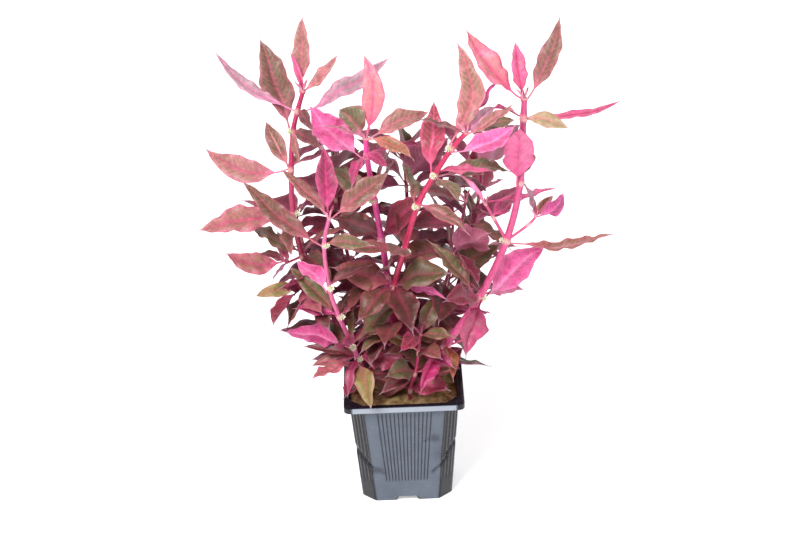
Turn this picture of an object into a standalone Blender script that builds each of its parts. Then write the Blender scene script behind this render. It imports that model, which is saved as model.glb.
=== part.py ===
"""Alternanthera reineckii grown out of water, in its square nursery pot.

Lengths are written in millimetres and turned into metres when a mesh is made. +Z is up, the pot's front
faces -Y, and the origin is on the table under the middle of the pot.

A heading is the compass direction of a leaf seen from above: 0 right, 90 back, 180 left, 270 front.
A rise is its angle above level.
"""

import math
import random

import bmesh
import bpy
import numpy as np
from mathutils.bvhtree import BVHTree

MM = 0.001
GAP = 0.3

# The pot: a thin square cup, wider at the top, with bevelled corners, a flange that turns down and four
# pads as feet. The flange's own corners are round.
POT_HEIGHT = 87.0
BASE_HALF = 34.0
NECK_HALF = 41.2
RIM_HALF = 45.0
CORNER_BEVEL = 10.0
RIM_CORNER_RADIUS = 5.0
WALL = 1.0
FLANGE_DROP = 5.0
FLOOR_THICKNESS = 1.2
CHANNEL_HEIGHT = 3.7
CHANNEL_HALF_LOW = 11.0
CHANNEL_HALF_HIGH = 6.5
CHANNEL_BAR_LOW = 0.5
BOSS_RADIUS = 8.0
BOSS_SIDES = 8
DRAIN_RADIUS = 3.0
DRAIN_RING = 15.0
DRAIN_SIDES = 6
CUT_BEYOND = 4.0

# The fluted panel in the middle of each wall.
FLUTES = 14
FLUTE_BOTTOM = 17.0
FLUTE_TOP = 80.0
PANEL_HALF_LOW = 16.5
PANEL_HALF_HIGH = 21.5
FLUTE_MARGIN = 1.3
FLUTE_DEPTH = 0.5
FLUTE_CUTTER_HALF = 1.17
FLUTE_CUTTER_OUT = 1.0

# The block of mineral wool that fills the pot.
WOOL_TOP = 83.0
WOOL_EDGE = 2.5
WOOL_CROWN = 1.2
FOOT_DEPTH = 66.0
SOCKET_SIDES = 4
SOCKET_SLACK = 0.1

# Stems and leaves.
STEM_SIDES = 5
NODE_SWELLING = 1.25
TIP_SHARE = 0.62
SHOOT_TIP_SHARE = 0.8
FUSED_DEPTH = 0.4
PETIOLE_RADIUS = 0.7
BLADE_THICKNESS = 0.9
PETIOLE_SHARE = 0.12
WIDEST_POWER = 1.05
TIP_POWER = 1.5
LONG_STATIONS = (0.0, 0.12, 0.3, 0.52, 0.76)
SHORT_STATIONS = (0.0, 0.14, 0.4, 0.72)
SMALL_STATIONS = (0.12, 0.35, 0.68)
COARSE_STATIONS = (0.12, 0.48)
SHORT_LEAF = 50.0
SMALLEST_LEAF = 38.0
TWIST_FROM = 0.3
AXIL_LIFT = 1.8
LIGHT_LEAN = 1.0
MOST_ROLL = 55.0
FLOWER_RADIUS = 2.1
FLOWER_OFFSET = 0.4
FLOWER_SEAT = 0.9
SMOOTH_ANGLE = 50.0

# How far a leaf may be turned to stay clear of the others, in degrees, and the room kept around it.
CLEARANCE = 0.35
STEM_ROOM = 1.4
TURN_STEP = 4
PHOTO_TURNS = (24, 16)
HIDDEN_TURNS = (44, 24)

COLOURS = {
    "olive": "7c6a47",
    "tan": "a78a5c",
    "brown": "86503f",
    "orange": "a8613f",
    "maroon": "6a2b36",
    "rosy": "b0605c",
    "salmon": "cf7476",
    "mauve": "b0788c",
    "pale_pink": "e57f9c",
    "pink": "dd5c8c",
    "hot_pink": "e8408f",
    "magenta": "b3306f",
    "crimson": "a5274f",
    "stem": "c84a66",
    "pot": "2b2c33",
    "wool": "a3844a",
}

# Where each stem runs, node by node from its foot: (x, y, z). The leaves grow at these nodes.
STEMS = {
    "left_stem": (
        2.7,
        [(-22, 4, FOOT_DEPTH), (-22, 4, 88), (-42, 4, 124), (-60, 4, 160), (-71, 5, 190), (-76, 8, 223),
         (-76, 10, 258), (-73, 13, 286), (-69, 14, 302), (-64, 16, 317)],
    ),
    "front_left_stem": (
        2.3,
        [(-24, -12, FOOT_DEPTH), (-25, -13, 90), (-33, -21, 116), (-36, -24, 128), (-45, -30, 156),
         (-51, -36, 183), (-53, -42, 220), (-48, -46, 244)],
    ),
    "centre_left_stem": (
        3.1,
        [(-7, 4, FOOT_DEPTH), (-7, 4, 92), (-8, 2, 127), (-9, 2, 172), (-12, 1, 203), (-16, 0, 235),
         (-20, -2, 271), (-20, -3, 286)],
    ),
    "centre_stem": (
        2.9,
        [(-6, -9, FOOT_DEPTH), (-6, -10, 98), (-5, -14, 137), (-4, -16, 172), (4, -18, 201), (15, -20, 238),
         (28, -22, 263), (41, -24, 284), (52, -26, 297)],
    ),
    "right_stem": (
        3.5,
        [(14, -16, FOOT_DEPTH), (15, -17, 90), (32, -28, 127), (58, -26, 165), (79, -20, 208),
         (90, -16, 252), (93, -13, 300), (94, -12, 316)],
    ),
    "front_stem": (
        1.6,
        [(5, -28, FOOT_DEPTH), (5, -28, 91), (9, -33, 108), (12, -38, 128), (14, -42, 146)],
    ),
}

# The stems that the front hardly shows.
INNER_STEMS = {
    "middle_right_stem": (
        1.8,
        [(12, 2, FOOT_DEPTH), (13, 2, 92), (19, 3, 114), (26, 4, 138), (34, 5, 162), (41, 6, 186),
         (47, 6, 210), (51, 5, 230)],
    ),
    "back_left_stem": (
        1.9,
        [(-14, 18, FOOT_DEPTH), (-14, 18, 90), (-22, 29, 114), (-30, 39, 138), (-37, 47, 162),
         (-42, 54, 186), (-46, 59, 210), (-48, 62, 230)],
    ),
    "back_stem": (
        2.0,
        [(3, 22, FOOT_DEPTH), (3, 22, 92), (4, 32, 116), (5, 42, 141), (7, 50, 166), (8, 57, 191),
         (8, 62, 216), (7, 66, 238)],
    ),
    "back_right_stem": (
        1.9,
        [(18, 16, FOOT_DEPTH), (18, 16, 90), (30, 26, 114), (41, 34, 138), (50, 41, 162), (57, 47, 186),
         (62, 51, 210), (65, 54, 230)],
    ),
    "low_back_left_stem": (
        1.6,
        [(-26, 26, FOOT_DEPTH), (-26, 26, 88), (-40, 35, 106), (-54, 44, 128), (-66, 51, 154),
         (-73, 55, 180), (-76, 57, 200)],
    ),
    "low_back_right_stem": (
        1.6,
        [(26, 28, FOOT_DEPTH), (26, 28, 88), (32, 44, 108), (37, 58, 132), (41, 70, 158), (43, 79, 184),
         (42, 84, 202)],
    ),
}

# Side shoots: the stem and the node that each leaves from, its radius, and its own nodes.
SHOOTS = {
    "left_shoot": ("left_stem", 4, 1.0, [(-83, 0, 187)]),
    "lower_left_shoot": ("left_stem", 3, 1.1, [(-75, -4, 168)]),
    "inner_right_shoot": ("right_stem", 4, 1.3, [(70, -21, 227), (64, -24, 240)]),
    "outer_right_shoot": ("right_stem", 4, 1.1, [(95, -22, 221), (101, -24, 229)]),
    "flower_stalk": ("right_stem", 2, 0.9, [(50, -32, 136)]),
}


class Leaf:
    """One leaf: where it grows, where its tip points, and how its blade is bent."""

    def __init__(self, stem, node, heading, rise, length, width, colour, bow=0.1, sweep=0.0,
                 roll=None, twist=0.0, fold=20.0, own=False, plain=False):
        self.stem = stem
        self.node = node
        self.heading = heading
        self.rise = rise
        self.length = length
        self.width = width
        self.colour = colour
        self.bow = bow
        self.sweep = sweep
        self.roll = roll
        self.twist = twist
        self.fold = fold
        self.own = own
        self.plain = plain
        if own:
            self.stations = SHORT_STATIONS if length < SHORT_LEAF else LONG_STATIONS
        elif plain or length < SMALLEST_LEAF:
            self.stations = COARSE_STATIONS
        else:
            self.stations = SMALL_STATIONS


# The leaves that the front shows: stem, node, heading, rise, length, width, colour.
# bow lifts the middle of the blade, sweep bends it sideways, roll turns its upper face, fold closes its
# halves. Without a roll the upper face turns to the light. own leaves are pieces of their own.
LEAVES = [
    # The crown of the left stem
    Leaf("left_stem", 9, 84, 70, 54, 14, "rosy", roll=0, own=True),
    Leaf("left_stem", 9, 20, 40, 36, 9, "rosy", bow=-0.1, roll=35),
    Leaf("left_stem", 9, 145, 58, 29, 5, "pink"),
    Leaf("left_stem", 8, 11, 26, 78, 15, "mauve", bow=-0.1, roll=25, twist=40, own=True),
    Leaf("left_stem", 8, 168, 37, 74, 10, "mauve", bow=-0.2, roll=-40, own=True),
    Leaf("left_stem", 8, 294, -11, 28, 9, "maroon"),
    Leaf("left_stem", 7, 123, 64, 74, 24, "brown", roll=-20, own=True),
    Leaf("left_stem", 7, 306, -3, 36, 11, "maroon"),
    Leaf("left_stem", 7, 280, -24, 32, 9, "brown"),
    # Down the left stem
    Leaf("left_stem", 6, 120, 35, 45, 13, "brown", bow=0.02, roll=-30, own=True),
    Leaf("left_stem", 6, 177, 17, 65, 21, "salmon", bow=-0.34, roll=-50, twist=-40, fold=25, own=True),
    Leaf("left_stem", 6, 38, 1, 48, 14, "brown"),
    Leaf("left_stem", 5, 187, -5, 72, 22, "salmon", bow=0.04, roll=-50, own=True),
    Leaf("left_stem", 5, 53, -8, 38, 14, "brown"),
    Leaf("left_shoot", 1, 105, 29, 30, 10, "salmon"),
    Leaf("left_shoot", 1, 177, 12, 46, 18, "salmon", bow=-0.26, roll=-55, own=True),
    Leaf("left_shoot", 1, 143, -2, 30, 7, "maroon"),
    Leaf("left_shoot", 1, 240, -14, 20, 7, "mauve"),
    Leaf("lower_left_shoot", 1, 183, -8, 33, 12, "tan", roll=-50),
    Leaf("lower_left_shoot", 1, 236, -26, 38, 20, "crimson", fold=30, own=True),
    # The front left stem
    Leaf("front_left_stem", 7, 97, 67, 52, 18, "magenta", fold=30, roll=0, own=True),
    Leaf("front_left_stem", 7, 159, 43, 49, 11, "brown", roll=-35),
    Leaf("front_left_stem", 7, 16, 32, 54, 19, "brown", bow=0.0, roll=40, own=True),
    Leaf("front_left_stem", 6, 164, 38, 76, 16, "brown", bow=-0.08, roll=-45, own=True),
    Leaf("front_left_stem", 6, 345, 5, 36, 12, "olive"),
    Leaf("front_left_stem", 5, 205, 52, 37, 16, "hot_pink", roll=60, own=True),
    Leaf("front_left_stem", 5, 20, 20, 34, 11, "maroon"),
    Leaf("front_left_stem", 4, 157, 42, 53, 14, "olive", roll=-40, own=True),
    Leaf("front_left_stem", 4, 140, 10, 34, 10, "magenta"),
    Leaf("front_left_stem", 4, 69, 20, 30, 8, "olive"),
    Leaf("front_left_stem", 4, 35, 4, 38, 12, "brown"),
    Leaf("front_left_stem", 3, 173, 12, 53, 20, "hot_pink", roll=80, own=True),
    Leaf("front_left_stem", 3, 140, 10, 42, 14, "olive", own=True),
    Leaf("front_left_stem", 3, 90, 22, 36, 10, "tan"),
    Leaf("front_left_stem", 3, 17, 43, 55, 18, "olive", roll=35, own=True),
    Leaf("front_left_stem", 3, 335, 34, 34, 13, "olive", bow=0.25, roll=20),
    Leaf("front_left_stem", 2, 176, 12, 42, 10, "maroon"),
    Leaf("front_left_stem", 2, 184, -6, 36, 14, "salmon", roll=-30),
    Leaf("front_left_stem", 2, 215, -4, 42, 18, "salmon", fold=15, own=True),
    Leaf("front_left_stem", 2, 155, -12, 40, 11, "mauve"),
    Leaf("front_left_stem", 2, 283, -30, 45, 17, "tan", bow=0.2, fold=18, own=True),
    Leaf("front_left_stem", 2, 255, -24, 34, 10, "pink"),
    # The centre left stem
    Leaf("centre_left_stem", 7, 89, 69, 61, 17, "pale_pink", sweep=0.2, roll=0, own=True),
    Leaf("centre_left_stem", 7, 140, 34, 30, 24, "olive", bow=0.2, own=True),
    Leaf("centre_left_stem", 7, 13, 16, 50, 17, "rosy", roll=25, twist=30, own=True),
    Leaf("centre_left_stem", 7, 322, -9, 42, 12, "orange", bow=0.2, own=True),
    Leaf("centre_left_stem", 7, 206, 26, 38, 9, "rosy"),
    Leaf("centre_left_stem", 6, 190, 48, 60, 26, "hot_pink", bow=-0.1, roll=80, fold=25, own=True),
    Leaf("centre_left_stem", 6, 254, -8, 42, 12, "magenta", bow=0.2),
    Leaf("centre_left_stem", 6, 300, 16, 30, 9, "magenta"),
    Leaf("centre_left_stem", 5, 143, 21, 46, 18, "olive", own=True),
    Leaf("centre_left_stem", 5, 66, 21, 45, 12, "rosy"),
    Leaf("centre_left_stem", 4, 140, 17, 42, 17, "brown", own=True),
    # The centre stem
    Leaf("centre_stem", 7, 78, 70, 77, 19, "rosy", sweep=0.36, roll=0, own=True),
    Leaf("centre_stem", 8, 40, 60, 43, 11, "magenta", roll=-70, own=True),
    Leaf("centre_stem", 8, 345, 36, 42, 11, "rosy", bow=-0.15),
    Leaf("centre_stem", 8, 31, -1, 42, 16, "olive", own=True),
    Leaf("centre_stem", 8, 137, 10, 36, 7, "maroon"),
    Leaf("centre_stem", 7, 334, 27, 56, 19, "hot_pink", bow=-0.15, roll=-80, own=True),
    Leaf("centre_stem", 6, 85, 68, 54, 18, "crimson", roll=-8, own=True),
    Leaf("centre_stem", 6, 2, 9, 42, 8, "pink"),
    Leaf("centre_stem", 6, 20, -8, 60, 16, "olive", bow=0.15, own=True),
    Leaf("centre_stem", 6, 296, -10, 38, 15, "olive", bow=0.2, own=True),
    Leaf("centre_stem", 5, 103, 26, 43, 18, "olive", own=True),
    Leaf("centre_stem", 5, 324, -14, 45, 14, "brown", bow=0.15),
    Leaf("centre_stem", 4, 198, 14, 52, 11, "brown", roll=-40, twist=-30, own=True),
    Leaf("centre_stem", 3, 335, -4, 42, 10, "hot_pink", roll=-70),
    Leaf("centre_stem", 2, 300, 8, 40, 14, "crimson"),
    Leaf("centre_stem", 2, 215, 0, 36, 13, "olive"),
    # The right stem and its shoots
    Leaf("right_stem", 7, 155, 47, 65, 20, "pale_pink", bow=-0.14, roll=-30, own=True),
    Leaf("right_stem", 7, 111, 67, 41, 13, "pink", roll=0, own=True),
    Leaf("right_stem", 7, 34, 59, 63, 16, "brown", bow=-0.1, sweep=0.05, roll=30, own=True),
    Leaf("right_stem", 6, 15, 3, 75, 7, "pink", bow=-0.12, roll=40, own=True),
    Leaf("right_stem", 6, 340, -6, 34, 12, "tan", roll=45),
    Leaf("right_stem", 6, 139, 2, 34, 10, "pink"),
    Leaf("right_stem", 5, 268, 84, 50, 24, "pink", bow=0.05, roll=0, own=True),
    Leaf("right_stem", 5, 80, 35, 48, 16, "olive"),
    Leaf("inner_right_shoot", 2, 153, 44, 29, 10, "pale_pink", roll=50),
    Leaf("inner_right_shoot", 2, 21, -3, 62, 11, "pink", bow=-0.05, roll=-50, own=True),
    Leaf("inner_right_shoot", 1, 58, 2, 27, 12, "magenta"),
    Leaf("inner_right_shoot", 1, 125, -12, 28, 13, "maroon"),
    Leaf("outer_right_shoot", 2, 132, 58, 26, 9, "mauve"),
    Leaf("outer_right_shoot", 2, 21, 44, 19, 9, "brown"),
    Leaf("outer_right_shoot", 2, 340, 46, 29, 13, "magenta", bow=-0.3, roll=-70),
    Leaf("right_stem", 4, 356, 4, 80, 13, "rosy", bow=-0.18, own=True),
    Leaf("right_stem", 3, 15, 34, 64, 25, "hot_pink", bow=0.05, roll=-95, fold=15, own=True),
    Leaf("right_stem", 3, 25, -14, 44, 14, "pink", roll=-70),
    Leaf("right_stem", 3, 152, 44, 56, 14, "olive", roll=-20, own=True),
    Leaf("right_stem", 3, 250, -42, 46, 21, "pink", bow=0.2, own=True),
    Leaf("right_stem", 2, 200, 20, 38, 13, "olive", roll=-15),
    Leaf("right_stem", 2, 290, -18, 34, 13, "orange", bow=0.2),
    Leaf("right_stem", 2, 240, -26, 44, 15, "hot_pink", fold=40, bow=0.25, own=True),
    # The short stem in front
    Leaf("front_stem", 4, 62, 28, 38, 15, "olive"),
    Leaf("front_stem", 4, 240, -4, 30, 13, "crimson"),
    Leaf("front_stem", 4, 330, 6, 28, 12, "olive"),
    Leaf("front_stem", 3, 150, 24, 34, 12, "tan"),
    Leaf("front_stem", 3, 318, -18, 34, 13, "magenta"),
    Leaf("front_stem", 2, 215, -10, 32, 13, "maroon"),
    Leaf("front_stem", 2, 20, 4, 32, 12, "brown"),
]

# Leaves deeper in the crowd, of which the front shows only parts.
DEEPER_LEAVES = [
    Leaf("centre_left_stem", 2, 262, -8, 46, 20, "maroon", plain=True),
    Leaf("centre_left_stem", 3, 230, -12, 48, 20, "brown", plain=True),
    Leaf("centre_left_stem", 3, 300, -6, 44, 18, "crimson", plain=True),
    Leaf("centre_stem", 3, 286, -20, 48, 20, "maroon", plain=True),
    Leaf("centre_stem", 3, 230, -14, 44, 18, "brown", plain=True),
    Leaf("middle_right_stem", 3, 285, -10, 48, 20, "crimson", plain=True),
    Leaf("middle_right_stem", 4, 262, -14, 48, 20, "maroon", plain=True),
    Leaf("middle_right_stem", 5, 292, -8, 44, 18, "magenta", plain=True),
    Leaf("right_stem", 2, 160, 14, 46, 18, "maroon", plain=True),
    Leaf("left_stem", 4, 300, -10, 46, 18, "brown", plain=True),
    Leaf("left_stem", 3, 280, -14, 44, 18, "maroon", plain=True),
    Leaf("left_stem", 5, 268, -20, 44, 16, "rosy", plain=True),
    Leaf("lower_left_shoot", 1, 300, -10, 36, 14, "salmon", plain=True),
    Leaf("back_left_stem", 5, 195, 10, 46, 22, "brown", plain=True),
    Leaf("back_left_stem", 3, 215, 20, 38, 20, "maroon", plain=True),
    Leaf("back_stem", 7, 50, 28, 42, 20, "brown", plain=True),
    Leaf("centre_left_stem", 6, 20, 0, 44, 18, "magenta", plain=True),
    Leaf("middle_right_stem", 5, 200, 4, 48, 21, "brown", plain=True),
    Leaf("middle_right_stem", 7, 190, 20, 46, 19, "maroon", plain=True),
    Leaf("back_right_stem", 4, 5, 14, 42, 25, "rosy", plain=True),
    Leaf("middle_right_stem", 6, 330, -16, 42, 19, "crimson", plain=True),
    Leaf("middle_right_stem", 6, 200, 6, 44, 20, "magenta", plain=True),
    Leaf("left_stem", 3, 230, -20, 40, 20, "crimson", plain=True),
    Leaf("back_left_stem", 4, 330, 6, 42, 20, "brown", plain=True),
    Leaf("back_left_stem", 4, 200, 12, 42, 22, "maroon", plain=True),
    Leaf("back_stem", 6, 195, 5, 42, 20, "brown", plain=True),
    Leaf("back_stem", 5, 200, 20, 44, 20, "maroon", plain=True),
    Leaf("back_stem", 7, 350, 8, 38, 19, "olive", plain=True),
    Leaf("back_stem", 6, 10, 8, 40, 19, "crimson", plain=True),
    Leaf("back_stem", 7, 160, 30, 42, 20, "olive", plain=True),
    Leaf("back_left_stem", 7, 60, 50, 46, 20, "brown", plain=True),
    Leaf("back_right_stem", 7, 100, 52, 44, 20, "crimson", plain=True),
    Leaf("back_right_stem", 5, 175, 10, 40, 19, "maroon", plain=True),
    Leaf("back_right_stem", 3, 0, 6, 40, 19, "brown", plain=True),
    Leaf("low_back_left_stem", 4, 300, 10, 38, 19, "maroon", plain=True),
    Leaf("low_back_left_stem", 5, 345, 12, 38, 19, "brown", plain=True),
    Leaf("back_left_stem", 6, 2, 8, 50, 23, "maroon", plain=True),
    Leaf("back_stem", 7, 110, 58, 34, 20, "olive", plain=True),
    Leaf("low_back_left_stem", 6, 355, 5, 36, 22, "maroon", plain=True),
    Leaf("left_stem", 6, 20, 20, 34, 20, "brown", plain=True),
    Leaf("low_back_right_stem", 4, 345, -4, 46, 21, "crimson", plain=True),
    Leaf("centre_stem", 8, 30, 34, 28, 12, "mauve", plain=True),
    Leaf("back_right_stem", 5, 100, 40, 36, 20, "brown", plain=True),
]

# The pairs that the front hardly shows: stem, first node, last node, length, width, rise.
HIDDEN_PAIRS = [
    ("centre_stem", 1, 4, 50, 21, 12),
    ("right_stem", 1, 3, 50, 20, 14),
    ("centre_left_stem", 1, 5, 52, 21, 14),
    ("front_stem", 1, 3, 36, 17, 6),
    ("front_left_stem", 1, 3, 42, 18, 8),
    ("middle_right_stem", 1, 5, 54, 22, 14),
    ("back_stem", 1, 6, 60, 25, 22),
    ("back_left_stem", 1, 7, 58, 23, 18),
    ("back_right_stem", 1, 7, 58, 23, 18),
    ("low_back_left_stem", 2, 6, 52, 21, 12),
    ("low_back_right_stem", 2, 6, 52, 21, 12),
    ("left_stem", 2, 4, 50, 19, 10),
]
HIDDEN_COLOURS = ("brown", "maroon", "olive", "crimson", "magenta", "rosy")
HIDDEN_SEED = 11
DECUSSATE_TURN = 90.0
HIDDEN_FOLD = 10.0
HIDDEN_RISE_STEP = 5.0
LOWEST_BLADE = 84.0

# The flower heads, which sit in the angles between leaves and stem: stem, node, heading.
FLOWERS = [
    ("left_stem", 7, 215), ("left_stem", 5, 330),
    ("front_left_stem", 6, 320), ("front_left_stem", 5, 300), ("front_left_stem", 4, 325),
    ("front_left_stem", 3, 270), ("front_left_stem", 2, 310),
    ("centre_left_stem", 5, 225),
    ("centre_stem", 7, 200), ("centre_stem", 6, 240), ("centre_stem", 5, 230), ("centre_stem", 4, 330),
    ("right_stem", 4, 200), ("right_stem", 3, 190), ("right_stem", 3, 330), ("flower_stalk", 1, 110),
]


def linear(hex_colour):
    """The linear RGBA of an sRGB hex colour."""
    channels = [int(hex_colour[i:i + 2], 16) / 255 for i in (0, 2, 4)]
    return [c / 12.92 if c <= 0.04045 else ((c + 0.055) / 1.055) ** 2.4 for c in channels] + [1.0]


def material(name, colour, roughness):
    made = bpy.data.materials.get(name)
    if made is None:
        made = bpy.data.materials.new(name)
        made.use_nodes = True
        shader = made.node_tree.nodes["Principled BSDF"]
        shader.inputs["Base Color"].default_value = linear(COLOURS[colour])
        shader.inputs["Roughness"].default_value = roughness
        shader.inputs["Metallic"].default_value = 0.0
    return made


def mesh_object(name, solid, look=None):
    """An object in the scene from (points in millimetres, faces), with its normals facing out."""
    points, faces = solid
    mesh = bpy.data.meshes.new(name)
    mesh.from_pydata([tuple(float(c) * MM for c in p) for p in points], [], faces)
    shape = bmesh.new()
    shape.from_mesh(mesh)
    bmesh.ops.recalc_face_normals(shape, faces=shape.faces)
    shape.to_mesh(mesh)
    shape.free()
    made = bpy.data.objects.new(name, mesh)
    bpy.context.scene.collection.objects.link(made)
    if look:
        mesh.materials.append(look)
    return made


def smooth(made):
    made.data.shade_smooth()
    made.data.set_sharp_from_angle(angle=math.radians(SMOOTH_ANGLE))


def combined(made, helpers, operation):
    """Joins the helpers to the object, or cuts them from it, and removes them."""
    group = bpy.data.collections.new(made.name + "_helpers")
    bpy.context.scene.collection.children.link(group)
    for helper in helpers:
        bpy.context.scene.collection.objects.unlink(helper)
        group.objects.link(helper)
        helper.hide_render = True
        helper.display_type = "WIRE"
    modifier = made.modifiers.new(operation.title(), "BOOLEAN")
    modifier.operation = operation
    modifier.operand_type = "COLLECTION"
    modifier.collection = group
    modifier.solver = "EXACT"
    evaluated = made.evaluated_get(bpy.context.evaluated_depsgraph_get())
    mesh = bpy.data.meshes.new_from_object(evaluated)
    made.modifiers.remove(modifier)
    made.data = mesh
    for helper in helpers:
        bpy.data.objects.remove(helper)
    bpy.data.collections.remove(group)
    return made


def lofted(rings):
    """A closed solid through rings that have the same number of points, each end closed by one face."""
    count = len(rings[0])
    points = [p for ring in rings for p in ring]
    faces = []
    for level in range(len(rings) - 1):
        low = level * count
        high = low + count
        for i in range(count):
            j = (i + 1) % count
            faces.append((low + i, low + j, high + j, high + i))
    faces.append(tuple(reversed(range(count))))
    faces.append(tuple(range(len(points) - count, len(points))))
    return points, faces


def square_ring(half, z, corner, bulge):
    """A square's outline at one height, three points to a corner. bulge places the middle one."""
    start = half - corner
    middle = start + corner * bulge
    quarter = [(half, start, z), (middle, middle, z), (start, half, z)]
    return [point for turn in range(4) for point in turned_quarter(quarter, turn)]


def bevelled_square(half, z):
    return square_ring(half, z, CORNER_BEVEL, 0.5)


def rounded_square(half, z):
    return square_ring(half, z, RIM_CORNER_RADIUS, math.sqrt(0.5))


def wall_half(z):
    """Half the pot's outer width at a height, below the flange."""
    return BASE_HALF + (NECK_HALF - BASE_HALF) * z / (POT_HEIGHT - WALL)


def turned_quarter(points, quarter):
    """The points turned about the pot's axis by so many quarters."""
    angle = math.radians(90 * quarter)
    c = math.cos(angle)
    s = math.sin(angle)
    return [(c * x - s * y, s * x + c * y, z) for x, y, z in points]


def flute(quarter, across):
    """The cutter of one groove, a prism that follows the wall. across runs from -1 to 1 over the panel."""
    outline = [
        (-FLUTE_CUTTER_HALF, -FLUTE_CUTTER_OUT),
        (FLUTE_CUTTER_HALF, -FLUTE_CUTTER_OUT),
        (0.0, FLUTE_DEPTH),
    ]
    rings = []
    for z, panel_half in ((FLUTE_BOTTOM, PANEL_HALF_LOW), (FLUTE_TOP, PANEL_HALF_HIGH)):
        middle = across * (panel_half - FLUTE_MARGIN)
        ring = [(middle + x, y - wall_half(z), z) for x, y in outline]
        rings.append(turned_quarter(ring, quarter))
    return lofted(rings)


def channel(quarter, reach, low, widening):
    """A bar from side to side under the floor, narrower at its top, reaching so far out and so low."""
    half_low = CHANNEL_HALF_LOW + widening
    half_high = CHANNEL_HALF_HIGH + widening
    high = CHANNEL_HEIGHT + widening
    outline = [(-half_low, low), (half_low, low), (half_high, high), (-half_high, high)]
    rings = [turned_quarter([(x, y, z) for x, z in outline], quarter) for y in (-reach, reach)]
    return lofted(rings)


def post(x, y, radius, sides, low, high):
    """An upright prism with regular sides."""
    ring = [(x + radius * math.cos(a), y + radius * math.sin(a)) for a in
            [2 * math.pi * (i + 0.5) / sides for i in range(sides)]]
    return lofted([[(u, v, z) for u, v in ring] for z in (low, high)])


def build_pot():
    rings = [
        bevelled_square(wall_half(0), 0.0),
        bevelled_square(wall_half(POT_HEIGHT - WALL), POT_HEIGHT - WALL),
        rounded_square(RIM_HALF - WALL, POT_HEIGHT - WALL),
        rounded_square(RIM_HALF - WALL, POT_HEIGHT - FLANGE_DROP),
        rounded_square(RIM_HALF, POT_HEIGHT - FLANGE_DROP),
        rounded_square(RIM_HALF, POT_HEIGHT - WALL),
        rounded_square(RIM_HALF - WALL, POT_HEIGHT),
        bevelled_square(NECK_HALF - WALL, POT_HEIGHT),
        bevelled_square(wall_half(FLOOR_THICKNESS) - WALL, FLOOR_THICKNESS),
    ]
    pot = mesh_object("pot", lofted(rings), material("black polypropylene", "pot", 0.32))
    bars = [mesh_object("bar", channel(quarter, BASE_HALF - WALL / 2, CHANNEL_BAR_LOW, FLOOR_THICKNESS))
            for quarter in (0, 1)]
    combined(pot, bars, "UNION")
    cutters = [mesh_object("channel", channel(quarter, BASE_HALF + CUT_BEYOND, -CUT_BEYOND, 0.0))
               for quarter in (0, 1)]
    for x, y in ((DRAIN_RING, 0), (-DRAIN_RING, 0), (0, DRAIN_RING), (0, -DRAIN_RING)):
        drain = post(x, y, DRAIN_RADIUS, DRAIN_SIDES, -CUT_BEYOND, CHANNEL_HEIGHT + CUT_BEYOND)
        cutters.append(mesh_object("drain", drain))
    for quarter in range(4):
        for i in range(FLUTES):
            across = 2 * i / (FLUTES - 1) - 1
            cutters.append(mesh_object("flute", flute(quarter, across)))
    combined(pot, cutters, "DIFFERENCE")
    boss = post(0, 0, BOSS_RADIUS, BOSS_SIDES, 0.0, CHANNEL_HEIGHT + FLOOR_THICKNESS / 2)
    combined(pot, [mesh_object("boss", boss)], "UNION")
    smooth(pot)


def build_wool(courses):
    """The block that the stems stand in, with a socket for the foot of each stem's course."""
    inner = WALL + GAP
    bottom = CHANNEL_HEIGHT + FLOOR_THICKNESS + GAP
    edge = WOOL_TOP - WOOL_EDGE
    rings = [
        bevelled_square(wall_half(bottom) - inner, bottom),
        bevelled_square(wall_half(edge) - inner, edge),
        bevelled_square(wall_half(edge) - inner - WOOL_EDGE, WOOL_TOP),
        bevelled_square(NECK_HALF / 2, WOOL_TOP + WOOL_CROWN),
    ]
    wool = mesh_object("growing_medium", lofted(rings), material("mineral wool", "wool", 0.95))
    sockets = []
    widening = 1 / math.cos(math.pi / SOCKET_SIDES)
    for course in courses:
        above = next(i for i, (centre, _) in enumerate(course) if centre[2] > WOOL_TOP + WOOL_CROWN)
        socket = [(centre, (radius + GAP) * widening + SOCKET_SLACK)
                  for centre, radius in course[:above + 1]]
        socket[0] = (socket[0][0] - np.array([0.0, 0.0, GAP]), socket[0][1])
        sockets.append(mesh_object("socket", tube(socket, SOCKET_SIDES)))
    combined(wool, sockets, "DIFFERENCE")
    smooth(wool)


def unit(vector):
    return vector / np.linalg.norm(vector)


def halfway(points, k):
    """The point of a smooth curve through the nodes that lies halfway between node k and the next."""
    before = points[max(k - 1, 0)]
    after = points[min(k + 2, len(points) - 1)]
    return (9 * (points[k] + points[k + 1]) - before - after) / 16


def stem_nodes(points, radius, tip_share):
    """Each node's place, its radius and the direction in which the stem comes to it."""
    points = [np.array(p, float) for p in points]
    nodes = []
    for k, point in enumerate(points):
        along = unit(point - points[k - 1]) if k else unit(points[1] - point)
        nodes.append((point, radius * (1 - (1 - tip_share) * k / (len(points) - 1)), along))
    return nodes


def stem_course(nodes, swelling):
    """Centres and radii along a stem. A stem with swollen nodes has a thinner place halfway between them."""
    points = [point for point, _, _ in nodes]
    course = [(points[0], nodes[0][1])]
    for k in range(len(nodes) - 1):
        if swelling > 1:
            course.append((halfway(points, k), (nodes[k][1] + nodes[k + 1][1]) / 2))
        course.append((points[k + 1], nodes[k + 1][1] * swelling))
    return course


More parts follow.
